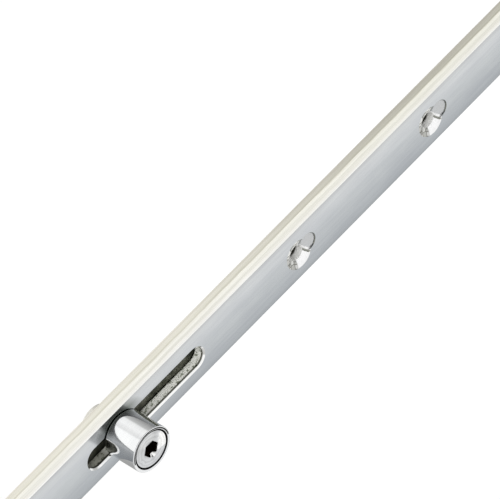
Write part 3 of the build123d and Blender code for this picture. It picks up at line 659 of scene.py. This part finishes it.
def sheared_edge(name, first, depth, darkening, *tones):
    """A sheared long edge: bands of tone by depth, fine lines, and greyer further down."""
    material, tree, shader, place = new_material(name)
    line, cloud = grain_of(tree, place, 1300.0, (1.0, 1.0, 0.03), 120.0)
    axes = axes_of(tree, place)
    wander = spread(tree, cloud, 0.3, 0.7, -0.2 * MM, 0.2 * MM)
    deep = math_node(tree, "ADD", axes["Y"], wander)
    bands = ramp(tree, spread(tree, deep, first, first + depth, 0.0, 1.0), *tones)
    shade = ramp(tree, line, (0.35, (0.92, 0.92, 0.91)), (0.62, WHITE))
    toned = tint(tree, bands, shade)
    # Greyer further down, below the lower roller.
    down = spread(tree, axes["Z"], ROLLER_Z - DARKEN_FROM, ROLLER_Z - DARKEN_FULL, 0.0, 1.0)
    darkened = ramp(tree, down, (0.0, WHITE), (1.0, (darkening, darkening, darkening * 0.98)))
    toned = tint(tree, toned, darkened)
    tree.links.new(toned, shader.inputs["Base Color"])
    shader.inputs["Roughness"].default_value = 0.2
    bump(tree, shader, line, 0.2, 0.00002)
    return material


def torn_wall():
    """The wall of a punched slot: a burnished band, then torn metal, with painted shade at its
    short end above the lower roller.
    """
    material, tree, shader, place = new_material("torn_slot_wall", 0.0)
    node = tree.nodes.new("ShaderNodeGroup")
    node.node_tree = TORN
    node.inputs["Scale"].default_value = 900.0
    tree.links.new(place, node.inputs["Vector"])
    flecks = ramp(
        tree,
        node.outputs["Pits"],
        (0.41, (0.28, 0.30, 0.24)),
        (0.46, (0.90, 0.92, 0.84)),
        (0.50, (1.0, 1.0, 0.95)),
    )
    axes = axes_of(tree, place)
    deep = spread(tree, axes["Y"], FACE_Y, FACE_BACK_Y, 0.0, 1.0)
    bands = ramp(
        tree,
        deep,
        (0.16, (0.30, 0.30, 0.27)),
        (0.22, (0.10, 0.10, 0.09)),
        (0.30, (0.22, 0.22, 0.20)),
        (0.35, WHITE),
        (0.90, WHITE),
        (1.0, (0.45, 0.45, 0.40)),
    )
    toned = tint(tree, bands, flecks)
    # Painted shade: the slot's short end above the lower roller is darkened, as the roller keeps
    # the light off it.
    reach = spread(tree, axes["Z"], ROLLER_Z, ROLLER_Z + SHADE_REACH, 0.0, 1.0)
    painted_shade = ramp(
        tree,
        reach,
        (0.2, WHITE),
        (0.35, (0.34, 0.34, 0.31)),
        (0.8, (0.42, 0.42, 0.39)),
        (0.95, WHITE),
    )
    toned = tint(tree, toned, painted_shade)
    tree.links.new(toned, shader.inputs["Base Color"])
    rough = spread(tree, node.outputs["Pits"], 0.3, 0.7, 0.55, 0.3)
    tree.links.new(rough, shader.inputs["Roughness"])
    bump(tree, shader, node.outputs["Flakes"], 0.5, 0.0001)
    return material


def pressed_hole_steel(number, z):
    """The dented dish of one screw hole, with the painted highlight and shade that its walls and
    its ledge show.
    """
    material, tree, shader, place = new_material(f"pressed_screw_hole_painted_light_{number}", 0.5)
    node = tree.nodes.new("ShaderNodeGroup")
    node.node_tree = PRESSED
    tree.links.new(centred(tree, place, (0.0, z)), node.inputs["Vector"])
    tree.links.new(node.outputs["Color"], shader.inputs["Base Color"])
    shader.inputs["Roughness"].default_value = 0.2
    bump(tree, shader, node.outputs["Dents"], 0.5, 0.0003)
    return material


def bright_bore():
    """The bore of a screw hole and its bush: bright at the mouth, and dark with painted shade
    further in.
    """
    material, tree, shader, place = new_material("bright_screw_bore", 0.0)
    line, cloud = grain_of(tree, place, 900.0, (1.0, 1.0, 0.2), 300.0)
    axes = axes_of(tree, place)
    deep = spread(tree, axes["Y"], FACE_Y, FACE_BACK_Y + BORE_BRIGHT, 0.0, 1.0)
    # Painted shade: the bore turns dark further in, where the light does not reach.
    bands = ramp(
        tree, deep, (0.0, (1.0, 1.0, 0.99)), (0.72, (0.9, 0.9, 0.88)), (0.84, (0.04, 0.04, 0.03))
    )
    shade = ramp(tree, cloud, (0.35, (0.85, 0.85, 0.83)), (0.6, WHITE))
    toned = tint(tree, bands, shade)
    tree.links.new(toned, shader.inputs["Base Color"])
    tree.links.new(spread(tree, line, 0.3, 0.7, 0.1, 0.2), shader.inputs["Roughness"])
    return material


def greased_steel():
    """Steel behind the faceplate: dark as painted shade, browner and lighter in patches."""
    material, tree, shader, place = new_material("greased_steel")
    line, cloud = grain_of(tree, place, 500.0, (1.0, 1.0, 0.3), 260.0)
    # Painted shade: the rod's face behind the strip is made dark, for the shade that it lies in
    # under the slots.
    colour = ramp(
        tree,
        cloud,
        (0.34, (0.045, 0.048, 0.038)),
        (0.50, (0.11, 0.115, 0.09)),
        (0.66, (0.24, 0.24, 0.20)),
    )
    tree.links.new(colour, shader.inputs["Base Color"])
    tree.links.new(spread(tree, line, 0.3, 0.7, 0.32, 0.6), shader.inputs["Roughness"])
    bump(tree, shader, cloud, 0.3, 0.0001)
    return material


def polished_steel(name, centre, rough=0.07):
    """Polished plated steel, turned round an axis along Y: faint rings and smears."""
    material, tree, shader, place = new_material(name)
    place = centred(tree, place, centre)
    line, cloud = grain_of(tree, place, 500.0, (0.2, 1.0, 0.2), 180.0)
    colour = ramp(tree, line, (0.3, (0.80, 0.81, 0.83)), (0.7, (0.90, 0.91, 0.92)))
    tree.links.new(colour, shader.inputs["Base Color"])
    smear = spread(tree, cloud, 0.35, 0.75, rough, rough * 2.2)
    tree.links.new(smear, shader.inputs["Roughness"])
    bump(tree, shader, line, 0.05, 0.00001)
    return material


def turned_face(name, centre):
    """The pin's head: grey with the lathe's rings, and a painted highlight on one side, with
    painted shade greyer round the rest.
    """
    material, tree, shader, place = new_material(name)
    place = centred(tree, place, centre)
    rings = tree.nodes.new("ShaderNodeTexWave")
    rings.wave_type = "RINGS"
    rings.rings_direction = "Y"
    rings.inputs["Scale"].default_value = 260.0
    rings.inputs["Distortion"].default_value = 5.0
    rings.inputs["Detail"].default_value = 4.0
    rings.inputs["Detail Scale"].default_value = 2.0
    tree.links.new(place, rings.inputs["Vector"])
    line, cloud = grain_of(tree, place, 700.0, (1.0, 0.2, 1.0), 260.0)
    axes = axes_of(tree, place)
    angle = math_node(tree, "ARCTAN2", axes["Z"], axes["X"])
    wander = spread(tree, cloud, 0.3, 0.7, -0.5, 0.5)
    turn = spread(tree, math_node(tree, "ADD", angle, wander), -math.pi, math.pi, 0.0, 1.0)
    # Painted highlight and shade by the angle round the head: white on one side, greyer elsewhere.
    painted_highlight = ramp(
        tree,
        turn,
        (0.0, (0.60, 0.61, 0.63)),
        (0.15, (0.70, 0.71, 0.73)),
        (0.18, WHITE),
        (0.25, WHITE),
        (0.29, (0.70, 0.71, 0.73)),
        (0.42, (0.58, 0.59, 0.60)),
        (0.52, (0.72, 0.73, 0.74)),
        (0.66, (0.60, 0.61, 0.62)),
        (0.85, (0.68, 0.69, 0.71)),
        (1.0, (0.60, 0.61, 0.63)),
    )
    marks = ramp(tree, rings.outputs["Fac"], (0.1, (0.86, 0.86, 0.86)), (0.7, WHITE))
    toned = tint(tree, painted_highlight, marks)
    tree.links.new(toned, shader.inputs["Base Color"])
    tree.links.new(spread(tree, line, 0.3, 0.7, 0.14, 0.26), shader.inputs["Roughness"])
    bump(tree, shader, rings.outputs["Fac"], 0.15, 0.00002)
    return material


def dark_socket():
    """The socket's inside: dark brown, lighter in patches, with uneven roughness."""
    material, tree, shader, place = new_material("oiled_socket")
    line, cloud = grain_of(tree, place, 1600.0, (1.0, 0.3, 1.0), 600.0)
    colour = ramp(tree, cloud, (0.35, (0.035, 0.028, 0.022)), (0.7, (0.20, 0.16, 0.12)))
    tree.links.new(colour, shader.inputs["Base Color"])
    tree.links.new(spread(tree, line, 0.3, 0.7, 0.2, 0.5), shader.inputs["Roughness"])
    return material


STRIP_FACE = strip_face_steel()
STRIP_RIM = plated_steel("bright_pressed_rim", (0.93, 0.93, 0.92), (1.0, 1.0, 0.99), (0.1, 0.16))
STRIP_EDGE = sheared_edge(
    "sheared_strip_edge",
    FACE_Y,
    FACE_THICK,
    1.0,
    (0.0, (1.0, 1.0, 0.99)),
    (0.17, (0.99, 0.98, 0.95)),
    (0.30, (0.96, 0.94, 0.89)),
    (0.42, (0.87, 0.86, 0.81)),
    (0.58, (0.90, 0.89, 0.83)),
    (0.70, (1.0, 0.99, 0.94)),
    (0.88, (0.97, 0.95, 0.88)),
    # Painted shade: darker at the back, at the gap between the strip and the rod.
    (1.0, (0.72, 0.70, 0.62)),
)
STRIP_BACK = plated_steel("rolled_strip_back", (0.58, 0.59, 0.60), (0.70, 0.71, 0.72))
SLOT_WALL = torn_wall()
CONE_STEEL = plated_steel(
    "turned_cone_steel", (0.50, 0.51, 0.52), (0.66, 0.67, 0.67), (0.14, 0.24)
)
BRIGHT_BORE = bright_bore()
ROD_FACE_PAINTED_SHADE = greased_steel()
ROD_EDGE = sheared_edge(
    "yellowish_rod_edge",
    FACE_BACK_Y,
    ROD_THICK,
    0.68,
    # Painted shade: darker at the front, at the gap between the strip and the rod.
    (0.0, (0.55, 0.54, 0.46)),
    (0.14, (0.74, 0.72, 0.62)),
    (0.35, (0.86, 0.84, 0.75)),
    (0.60, (0.84, 0.82, 0.74)),
    (0.80, (0.78, 0.75, 0.67)),
    (1.0, (0.90, 0.87, 0.81)),
)
ROD_STEEL = plated_steel("yellowish_rod_steel", (0.66, 0.65, 0.58), (0.80, 0.79, 0.73))
CASE_STEEL = plated_steel(
    "pressed_case_steel", (0.58, 0.60, 0.62), (0.72, 0.73, 0.74), (0.28, 0.42), (1, 1, 1), 300.0
)
MECHANISM = plated_steel("plain_mechanism_steel", (0.48, 0.48, 0.46), (0.62, 0.62, 0.59))
BOLT_STEEL = plated_steel("nickel_bolt_steel", (0.66, 0.66, 0.66), (0.80, 0.80, 0.79))
FASTENER = plated_steel("fastener_steel", (0.60, 0.60, 0.56), (0.78, 0.78, 0.74))
COLLAR_STEEL = plated_steel(
    "yellowish_collar_steel", (0.86, 0.84, 0.77), (0.96, 0.94, 0.88), (0.3, 0.4), metallic=0.3
)
SPRING_STEEL = plated_steel("spring_wire_steel", (0.30, 0.30, 0.31), (0.46, 0.46, 0.47))
SOCKET = dark_socket()
# Painted shade: near black, for the gap between the roller's recess and the pin's head.
GAP_PAINTED_SHADE = plated_steel("oiled_gap_steel", (0.02, 0.02, 0.02), (0.07, 0.07, 0.065), (0.4, 0.6))


# The faceplate


def screw_holes():
    """The heights of the strip's screw holes, from the bushes and the two ends."""
    heights = [FACE_TOP - END_MARGIN, FACE_BOTTOM + END_MARGIN]
    for node in frame["nodes"]:
        if node.startswith("guide_bush"):
            low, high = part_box(node)
            heights.append((low[2] + high[2]) / 2)
    return heights


def countersink(z, hole, head):
    """A cutter for one screw hole: a cone and a through bore."""
    return turned(
        "countersink",
        z,
        (head / 2 + CUT_PROUD, FACE_Y - CUT_PROUD),
        (hole / 2, FACE_Y + (head - hole) / 2),
        (hole / 2, FACE_BACK_Y + THROUGH),
    )


def dented_hole(z):
    """A cutter for a pressed screw hole: a flat dish, a steeper cone and a through bore."""
    flare = DISH_PROUD * (SCREW_HEAD - DISH) / 2 / DISH_DEPTH
    return turned(
        "dented_hole",
        z,
        (SCREW_HEAD / 2 + flare, FACE_Y - DISH_PROUD),
        (DISH / 2, FACE_Y + DISH_DEPTH),
        (SCREW_HOLE / 2, FACE_Y + CONE_DEPTH),
        (SCREW_HOLE / 2, FACE_BACK_Y + THROUGH),
    )


def window(node):
    """A cutter for the window that a sliding node passes through."""
    low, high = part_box(node)
    return bar(
        "window",
        (low[0] - RUN_GAP, FACE_Y - THROUGH, low[2] - RUN_GAP),
        (high[0] + RUN_GAP, FACE_BACK_Y + THROUGH, high[2] + RUN_GAP),
    )


def make_faceplate():
    """The strip with its slots, windows and countersunk holes, its edges broken."""
    strip = long_slot(
        "faceplate_strip",
        FACE_WIDTH,
        FACE_Y,
        FACE_BACK_Y,
        FACE_BOTTOM,
        FACE_TOP,
        STRIP_SIDES,
        FACE_ASIDE,
    )
    cutters = [window("latch_carrier"), window("deadbolt")]
    front, rear = FACE_Y - THROUGH, FACE_BACK_Y + THROUGH
    for joint in ("upper_cam_adjust", "lower_cam_adjust"):
        z = JOINTS[joint]["pos_m"][2]
        low, high = z - CAM_SLOT_BELOW, z + CAM_SLOT_ABOVE
        cutters.append(long_slot("cam_slot", CAM_SLOT_WIDTH, front, rear, low, high))
        flare = CAM_SLOT_RIM + CUT_PROUD
        cutters.append(
            long_slot(
                "cam_slot_rim",
                CAM_SLOT_WIDTH + 2 * flare,
                FACE_Y - CUT_PROUD,
                FACE_Y + CAM_SLOT_RIM,
                low - flare,
                high + flare,
                far_width=CAM_SLOT_WIDTH,
            )
        )
    heights = screw_holes()
    for z in heights:
        cutters.append(dented_hole(z))
        place = (RELIEF_ASIDE, z - RELIEF_BELOW)
        cutters.append(round_bar("relief", RELIEF / 2, front, FACE_Y + RELIEF_DEPTH, *place))
    for node in ("case_screw_upper", "case_screw_lower"):
        low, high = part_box(node)
        middle = (low[2] + high[2]) / 2
        cutters.append(countersink(middle, CASE_SCREW_HOLE, CASE_SCREW_HEAD))
    cutters.append(countersink(CYLINDER_Z, CYLINDER_SCREW, CYLINDER_SCREW_HEAD))
    cut(strip, *cutters)
    soften(strip, EDGE_BREAK)
    half = FACE_WIDTH / 2 - EDGE_BREAK * 1.5
    end_low, end_high = FACE_BOTTOM + FACE_WIDTH / 2, FACE_TOP - FACE_WIDTH / 2
    face_line = FACE_Y + EDGE_BREAK * 0.5
    relief_floor = FACE_Y + RELIEF_DEPTH
    face, edge, back, wall, cone, rim, bore, first_hole = range(8)

    def choose(centre, normal):
        if normal.y < -STRAIGHT_ON and centre.y < face_line:
            return face
        if normal.y > STRAIGHT_ON and centre.y > FACE_BACK_Y - EDGE_BREAK * 0.5:
            return back
        past_end = max(0.0, centre.z - end_high, end_low - centre.z)
        if math.hypot(centre.x - FACE_ASIDE, past_end) > half:
            return edge
        near_cam = any(
            -CAM_SLOT_BELOW - MM < centre.z - JOINTS[j]["pos_m"][2] < CAM_SLOT_ABOVE + MM
            for j in ("upper_cam_adjust", "lower_cam_adjust")
        )
        if near_cam:
            return rim if centre.y < FACE_Y + CAM_SLOT_RIM else wall
        near = [z for z in heights if abs(centre.z - z) < SCREW_HEAD / 2 + MM]
        if not near:
            return cone if abs(normal.y) > SLANTED else wall
        if abs(normal.y) < HARDLY and centre.y < relief_floor:
            return cone
        return bore if abs(normal.y) < SLANTED else first_hole + heights.index(near[0])

    finishes = [STRIP_FACE, STRIP_EDGE, STRIP_BACK, SLOT_WALL, CONE_STEEL, STRIP_RIM, BRIGHT_BORE]
    finishes += [pressed_hole_steel(number, z) for number, z in enumerate(heights, 1)]
    paint(strip, finishes, choose)
    finish_piece(strip, "lockcase", "faceplate", "faceplate")


# The roller cams


def hexagon(name, z, y_front, depth):
    """A six-sided cutter for the socket."""
    corner = HEX / math.sqrt(3)
    return round_bar(name, corner, y_front, y_front + depth, 0, z, 6)


def make_cam(prefix):
    """One cam: the roller sleeve, the eccentric pin with its socket, and the collar behind."""
    low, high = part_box(f"{prefix}_cam_roller")
    roller_z = (low[2] + high[2]) / 2
    pin_z = JOINTS[f"{prefix}_cam_adjust"]["pos_m"][2]
    front, rear = low[1], high[1] + ROLLER_CLOSER
    pin_low, pin_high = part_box(f"{prefix}_cam_pin")
    head_rear = pin_low[1] + HEAD_THICK

    at_roller = (0, roller_z, ROLLER_SIDES)
    at_axle = (0, roller_z, PIN_SIDES)
    at_pin = (0, pin_z, PIN_SIDES)
    roller = round_bar(f"{prefix}_roller_sleeve", ROLLER / 2, front, rear, *at_roller)
    floor = head_rear + BEARING_GAP
    recess = round_bar("recess", ROLLER_RECESS / 2, front - THROUGH, floor, *at_roller)
    bore = round_bar("bore", AXLE / 2 + BEARING_GAP, front, rear + THROUGH, *at_axle)
    cut(roller, recess, bore)
    soften(roller, ROLLER_ROUND, 4)
    polish = polished_steel(f"{prefix}_polished_roller", (0, roller_z))

    def inside(centre, normal):
        across = math.hypot(centre.x, centre.z - roller_z)
        facing_in = normal.x * centre.x + normal.z * (centre.z - roller_z) < 0
        return 1 if facing_in and across < ROLLER_RECESS / 2 + BEARING_GAP else 0

    # The recess's inner walls take the gap's painted shade.
    paint(roller, (polish, GAP_PAINTED_SHADE), inside)
    finish_piece(roller, f"{prefix}_roller", "cam", f"{prefix}_cam_roller")

    head = round_bar(f"{prefix}_pin", HEAD / 2, pin_low[1], head_rear, *at_roller)
    axle_front, axle_rear = head_rear - BEARING_GAP, rear + AXLE_LAP
    neck_front, neck_rear = rear + NECK_LAP, FACE_BACK_Y + SPIGOT_LAP
    axle = round_bar("axle", AXLE / 2, axle_front, axle_rear, *at_axle)
    neck = round_bar("neck", NECK / 2, neck_front, neck_rear, *at_pin)
    spigot = round_bar("spigot", SPIGOT / 2, FACE_BACK_Y, pin_high[1], *at_pin)
    fuse(head, axle, neck, spigot)
    cut(head, hexagon("socket", roller_z, pin_low[1] - THROUGH, HEX_DEPTH + THROUGH))
    # A corner cut at one side of the socket, which is then given a painted highlight.
    glint_radius = GLINT_CORNER / 2 + GLINT_PROUD
    glint_floor = pin_low[1] + GLINT_CORNER / 2
    glint_cut = round_bar(
        "worn_corner",
        glint_radius,
        pin_low[1] - GLINT_PROUD,
        glint_floor,
        -HEX / 2,
        roller_z,
        GLINT_SIDES,
        GLINT_CORNER / 4,
    )
    cut(head, glint_cut)
    soften(head, HEAD_ROUND, 2)
    socket_reach = HEX * SOCKET_SHARE
    face, inner, plain, gap, bright = range(5)

    def choose(centre, normal):
        across = math.hypot(centre.x, centre.z - roller_z)
        if centre.y < pin_low[1] + MERGE_REACH:
            return face
        glint_reach = math.hypot(centre.x + HEX / 2, centre.z - roller_z)
        # Painted highlight: the cut corner takes the bright rim steel.
        if glint_reach < glint_radius and centre.y < glint_floor:
            return bright
        if across < socket_reach and centre.y < pin_low[1] + HEX_DEPTH + THROUGH:
            return inner
        # The head's side in the gap takes the gap's painted shade.
        return gap if centre.y < head_rear and abs(normal.y) < HALF_TURNED else plain

    head_face = turned_face(f"{prefix}_turned_head", (0, roller_z))
    paint(head, (head_face, SOCKET, MECHANISM, GAP_PAINTED_SHADE, STRIP_RIM), choose)
    finish_piece(head, f"{prefix}_pin", "cam", f"{prefix}_cam_pin")

    low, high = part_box(f"{prefix}_cam_collar")
    rear = high[1] - COLLAR_SHY
    middle = pin_z + COLLAR_ASIDE
    collar = round_bar(f"{prefix}_rivet_collar", COLLAR / 2, low[1], rear, 0, middle, PIN_SIDES)
    cut(collar, round_bar("bore", SPIGOT / 2, low[1] - THROUGH, high[1] + THROUGH, *at_pin))
    soften(collar, COLLAR_ROUND)
    finish_piece(collar, f"{prefix}_pin", "fastener", f"{prefix}_cam_collar", COLLAR_STEEL)


# The pieces that keep their CAD form, with merged faces, smooth shading, and the rods' edges
# softened


def rod_finish(centre, normal):
    """Painted shade where a rod faces the strip, with sheared long edges and a plain back."""
    painted_dark, edge, plain = range(3)
    if normal.y < -STRAIGHT_ON:
        return painted_dark
    return edge if abs(normal.x) > SLANTED else plain


def squeeze_spring(piece):
    """Give the latch's spring a mesh of its own."""
    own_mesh(piece)


def make_dressed():
    """Copies of the plain steel pieces with smooth shading, the rods with broken edges, each with
    its own finish.
    """
    fasteners = [f"case_screw_{end}" for end in ("upper", "lower")]
    fasteners += [f"cover_screw_{number}" for number in range(1, 5)]
    fasteners += [f"guide_bush_{number}" for number in range(1, 4)]
    groups = (
        ("drive", "rod", ROD_STEEL, ("upper_rod", "lower_rod", "drive_slide")),
        ("drive", "mechanism", MECHANISM, ("drive_rack",)),
        ("follower", "mechanism", MECHANISM, ("follower",)),
        ("lockcase", "case", CASE_STEEL, ("lock_case", "case_cover")),
        ("lockcase", "fastener", FASTENER, fasteners),
        ("latch", "bolt", BOLT_STEEL, ("latch_carrier",)),
        ("latch", "fastener", FASTENER, ("latch_axle",)),
        ("latch", "mechanism", MECHANISM, ("latch_stem",)),
        ("latch", "fastener", FASTENER, ("latch_clip",)),
        ("latch", "spring", SPRING_STEEL, ("latch_spring",)),
        ("latch_roller", "cam", BOLT_STEEL, ("latch_roller",)),
        ("deadbolt", "bolt", BOLT_STEEL, ("deadbolt",)),
    )
    rows = [(node, body, slot, steel) for body, slot, steel, nodes in groups for node in nodes]
    for node, body, slot, material in rows:
        piece = dressed_copy(node)
        if slot == "rod":
            soften(piece, ROD_ROUND, 2)
            # The rods' faces towards the strip take the painted shade.
            paint(piece, (ROD_FACE_PAINTED_SHADE, ROD_EDGE, ROD_STEEL), rod_finish)
        else:
            smooth(piece)
        if node.startswith("guide_bush"):
            middle = sum(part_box(node)[end][2] for end in (0, 1)) / 2
            # The bush's bore takes the bright bore, with its painted shade further in.
            paint(
                piece,
                (FASTENER, BRIGHT_BORE),
                lambda c, n: abs(n.y) < HALF_TURNED and n.x * c.x + n.z * (c.z - middle) < 0,
            )
        finish_piece(piece, body, slot, node, material)
        if node == "latch_spring":
            squeeze_spring(piece)


# Camera, light and floor

VIEW_RIGHT = Vector((-0.2297, -0.7164, -0.6588)).normalized()
VIEW_BACK = Vector((0.7428, -0.5664, 0.3569)).normalized()
VIEW_UP = VIEW_BACK.cross(VIEW_RIGHT).normalized()
ROLLER_TO_MIDDLE = (33.11 * MM, 47.64 * MM)
CAMERA_DISTANCE = 1.44
VIEW_WIDTH = 130.5 * MM
SENSOR = 36.0
CLIP = (0.1, 50.0)

# The softbox: its direction, distance, size and radiance, and the height that it looks at
SOFTBOX = ((0.66, -0.55, 0.52), 1.6, 0.8, 5.0)
SOFTBOX_AIM = Vector((0, 0, -0.2))

# The floor's size and its drop below the strip, and how much its look is lifted to white
FLOOR_SIZE = 40
FLOOR_DROP = 0.25
FLOOR_LIFT = 0.5

# The walls round the lock: an angle about Y from +X towards +Z, and how bright it is there
TENT_RADIUS = 8.0
TENT_SIDES = 96
REAR_SPAN = (0.5, 14.0)
FRONT_SPAN = (-6.6, -1.0)
WALL_TINT = (1.0, 1.0, 0.985)
WALL_STRENGTH = 1.1
REAR_WALL = (
    (-180, 0.32),
    (-140, 0.32),
    (-107, 0.34),
    (-76, 0.28),
    (-62, 0.40),
    (-45, 0.52),
    (-37, 0.86),
    (-15, 0.95),
    (-2, 0.86),
    (12, 0.78),
    (18, 1.0),
    (65, 1.0),
    (76, 0.98),
    (82, 0.72),
    (94, 0.42),
    (111, 0.48),
    (131, 0.42),
    (157, 0.36),
)
FRONT_WALL = (
    (-180, 0.91),
    (-112, 0.91),
    (-100, 0.5),
    (-62, 0.10),
    (50, 0.10),
    (78, 0.62),
    (95, 0.48),
    (130, 0.52),
    (160, 0.6),
    (175, 0.91),
)


def make_camera():
    """A long lens along the photograph's view, set from the roller's foot on the strip."""
    foot = Vector((0, FACE_Y, ROLLER_Z))
    aim = foot + VIEW_RIGHT * ROLLER_TO_MIDDLE[0] + VIEW_UP * ROLLER_TO_MIDDLE[1]
    data = bpy.data.cameras.new("photo_camera")
    data.sensor_width = SENSOR
    data.lens = SENSOR * CAMERA_DISTANCE / VIEW_WIDTH
    data.clip_start, data.clip_end = CLIP
    camera = bpy.data.objects.new("photo_camera", data)
    bpy.context.scene.collection.objects.link(camera)
    turn = Matrix((VIEW_RIGHT, VIEW_UP, VIEW_BACK)).transposed().to_4x4()
    camera.matrix_world = Matrix.Translation(aim + VIEW_BACK * CAMERA_DISTANCE) @ turn
    bpy.context.scene.camera = camera


def softbox(name, direction, distance, size, radiance):
    """A square lamp that shines on the lock from one direction, out of the camera's sight."""
    data = bpy.data.lights.new(name, "AREA")
    data.shape = "SQUARE"
    data.size = size
    data.energy = radiance * math.pi * size * size
    lamp = bpy.data.objects.new(name, data)
    bpy.context.scene.collection.objects.link(lamp)
    toward = Vector(direction).normalized()
    lamp.location = SOFTBOX_AIM + toward * distance
    lamp.rotation_euler = toward.to_track_quat("Z", "Y").to_euler()
    lamp.visible_camera = False
    lamp.visible_glossy = False


def looked_at(tree):
    """1 where the eye, a mirror or glass looks straight at this, and 0 where it only lights."""
    path = tree.nodes.new("ShaderNodeLightPath")
    seen, mirrored = path.outputs["Is Camera Ray"], path.outputs["Is Glossy Ray"]
    straight = math_node(tree, "MAXIMUM", seen, mirrored)
    return math_node(tree, "MAXIMUM", straight, path.outputs["Is Transmission Ray"])


def make_world():
    """White to look at, and a plain even light on the lock."""
    world = bpy.data.worlds.new("white_studio")
    bpy.context.scene.world = world
    world.use_nodes = True
    tree = world.node_tree
    background = tree.nodes["Background"]
    seen = blend_colours(tree, looked_at(tree), (0.6, 0.6, 0.6), WHITE)
    tree.links.new(seen, background.inputs["Color"])


def make_wall(name, near, far, walls):
    """A wide round wall between two depths, which only shows in the lock's metal, as streaks."""
    deselect()
    bpy.ops.mesh.primitive_cylinder_add(
        vertices=TENT_SIDES,
        radius=TENT_RADIUS,
        depth=far - near,
        end_fill_type="NOTHING",
        location=(0, (near + far) / 2, ROLLER_Z),
        rotation=(math.pi / 2, 0, 0),
    )
    wall = settle(bpy.context.active_object, name)
    wall.visible_camera = False
    wall.visible_diffuse = False
    wall.visible_transmission = False
    wall.visible_shadow = False
    material = bpy.data.materials.new(name)
    material.use_nodes = True
    tree = material.node_tree
    tree.nodes.remove(tree.nodes["Principled BSDF"])
    place = tree.nodes.new("ShaderNodeTexCoord").outputs["Object"]
    axes = axes_of(tree, place)
    rise = math_node(tree, "SUBTRACT", axes["Z"], ROLLER_Z)
    angle = math_node(tree, "ARCTAN2", rise, axes["X"])
    turn = spread(tree, angle, -math.pi, math.pi, 0.0, 1.0)
    stops = [
        (0.5 + degrees / 360, tuple(shade * part for part in WALL_TINT))
        for degrees, shade in walls
    ]
    glow = tree.nodes.new("ShaderNodeEmission")
    glow.inputs["Strength"].default_value = WALL_STRENGTH
    tree.links.new(ramp(tree, turn, *stops), glow.inputs["Color"])
    tree.links.new(glow.outputs[0], tree.nodes["Material Output"].inputs["Surface"])
    wall.data.materials.append(material)


def make_lights():
    """The even light, one large softbox above the front, and the walls."""
    make_world()
    softbox("front_softbox", *SOFTBOX)
    make_wall("wall_behind", *REAR_SPAN, REAR_WALL)
    make_wall("wall_before", *FRONT_SPAN, FRONT_WALL)


def make_floor():
    """A wide pale floor, white to look at, which keeps the lock's soft shadow."""
    deselect()
    bpy.ops.mesh.primitive_plane_add(size=FLOOR_SIZE, location=(0, 0, FACE_BOTTOM - FLOOR_DROP))
    floor = settle(bpy.context.active_object, "floor")
    floor.visible_glossy = False
    material = bpy.data.materials.new("pale_floor")
    material.use_nodes = True
    tree = material.node_tree
    shader = tree.nodes["Principled BSDF"]
    shader.inputs["Base Color"].default_value = (0.8, 0.8, 0.8, 1)
    shader.inputs["Roughness"].default_value = 0.9
    shader.inputs["Emission Color"].default_value = (1, 1, 1, 1)
    lift = math_node(tree, "MULTIPLY", looked_at(tree), FLOOR_LIFT)
    tree.links.new(lift, shader.inputs["Emission Strength"])
    floor.data.materials.append(material)


bpy.context.scene.view_settings.view_transform = "Standard"
make_camera()
make_faceplate()
make_cam("lower")
make_cam("upper")
make_dressed()
make_lights()
make_floor()
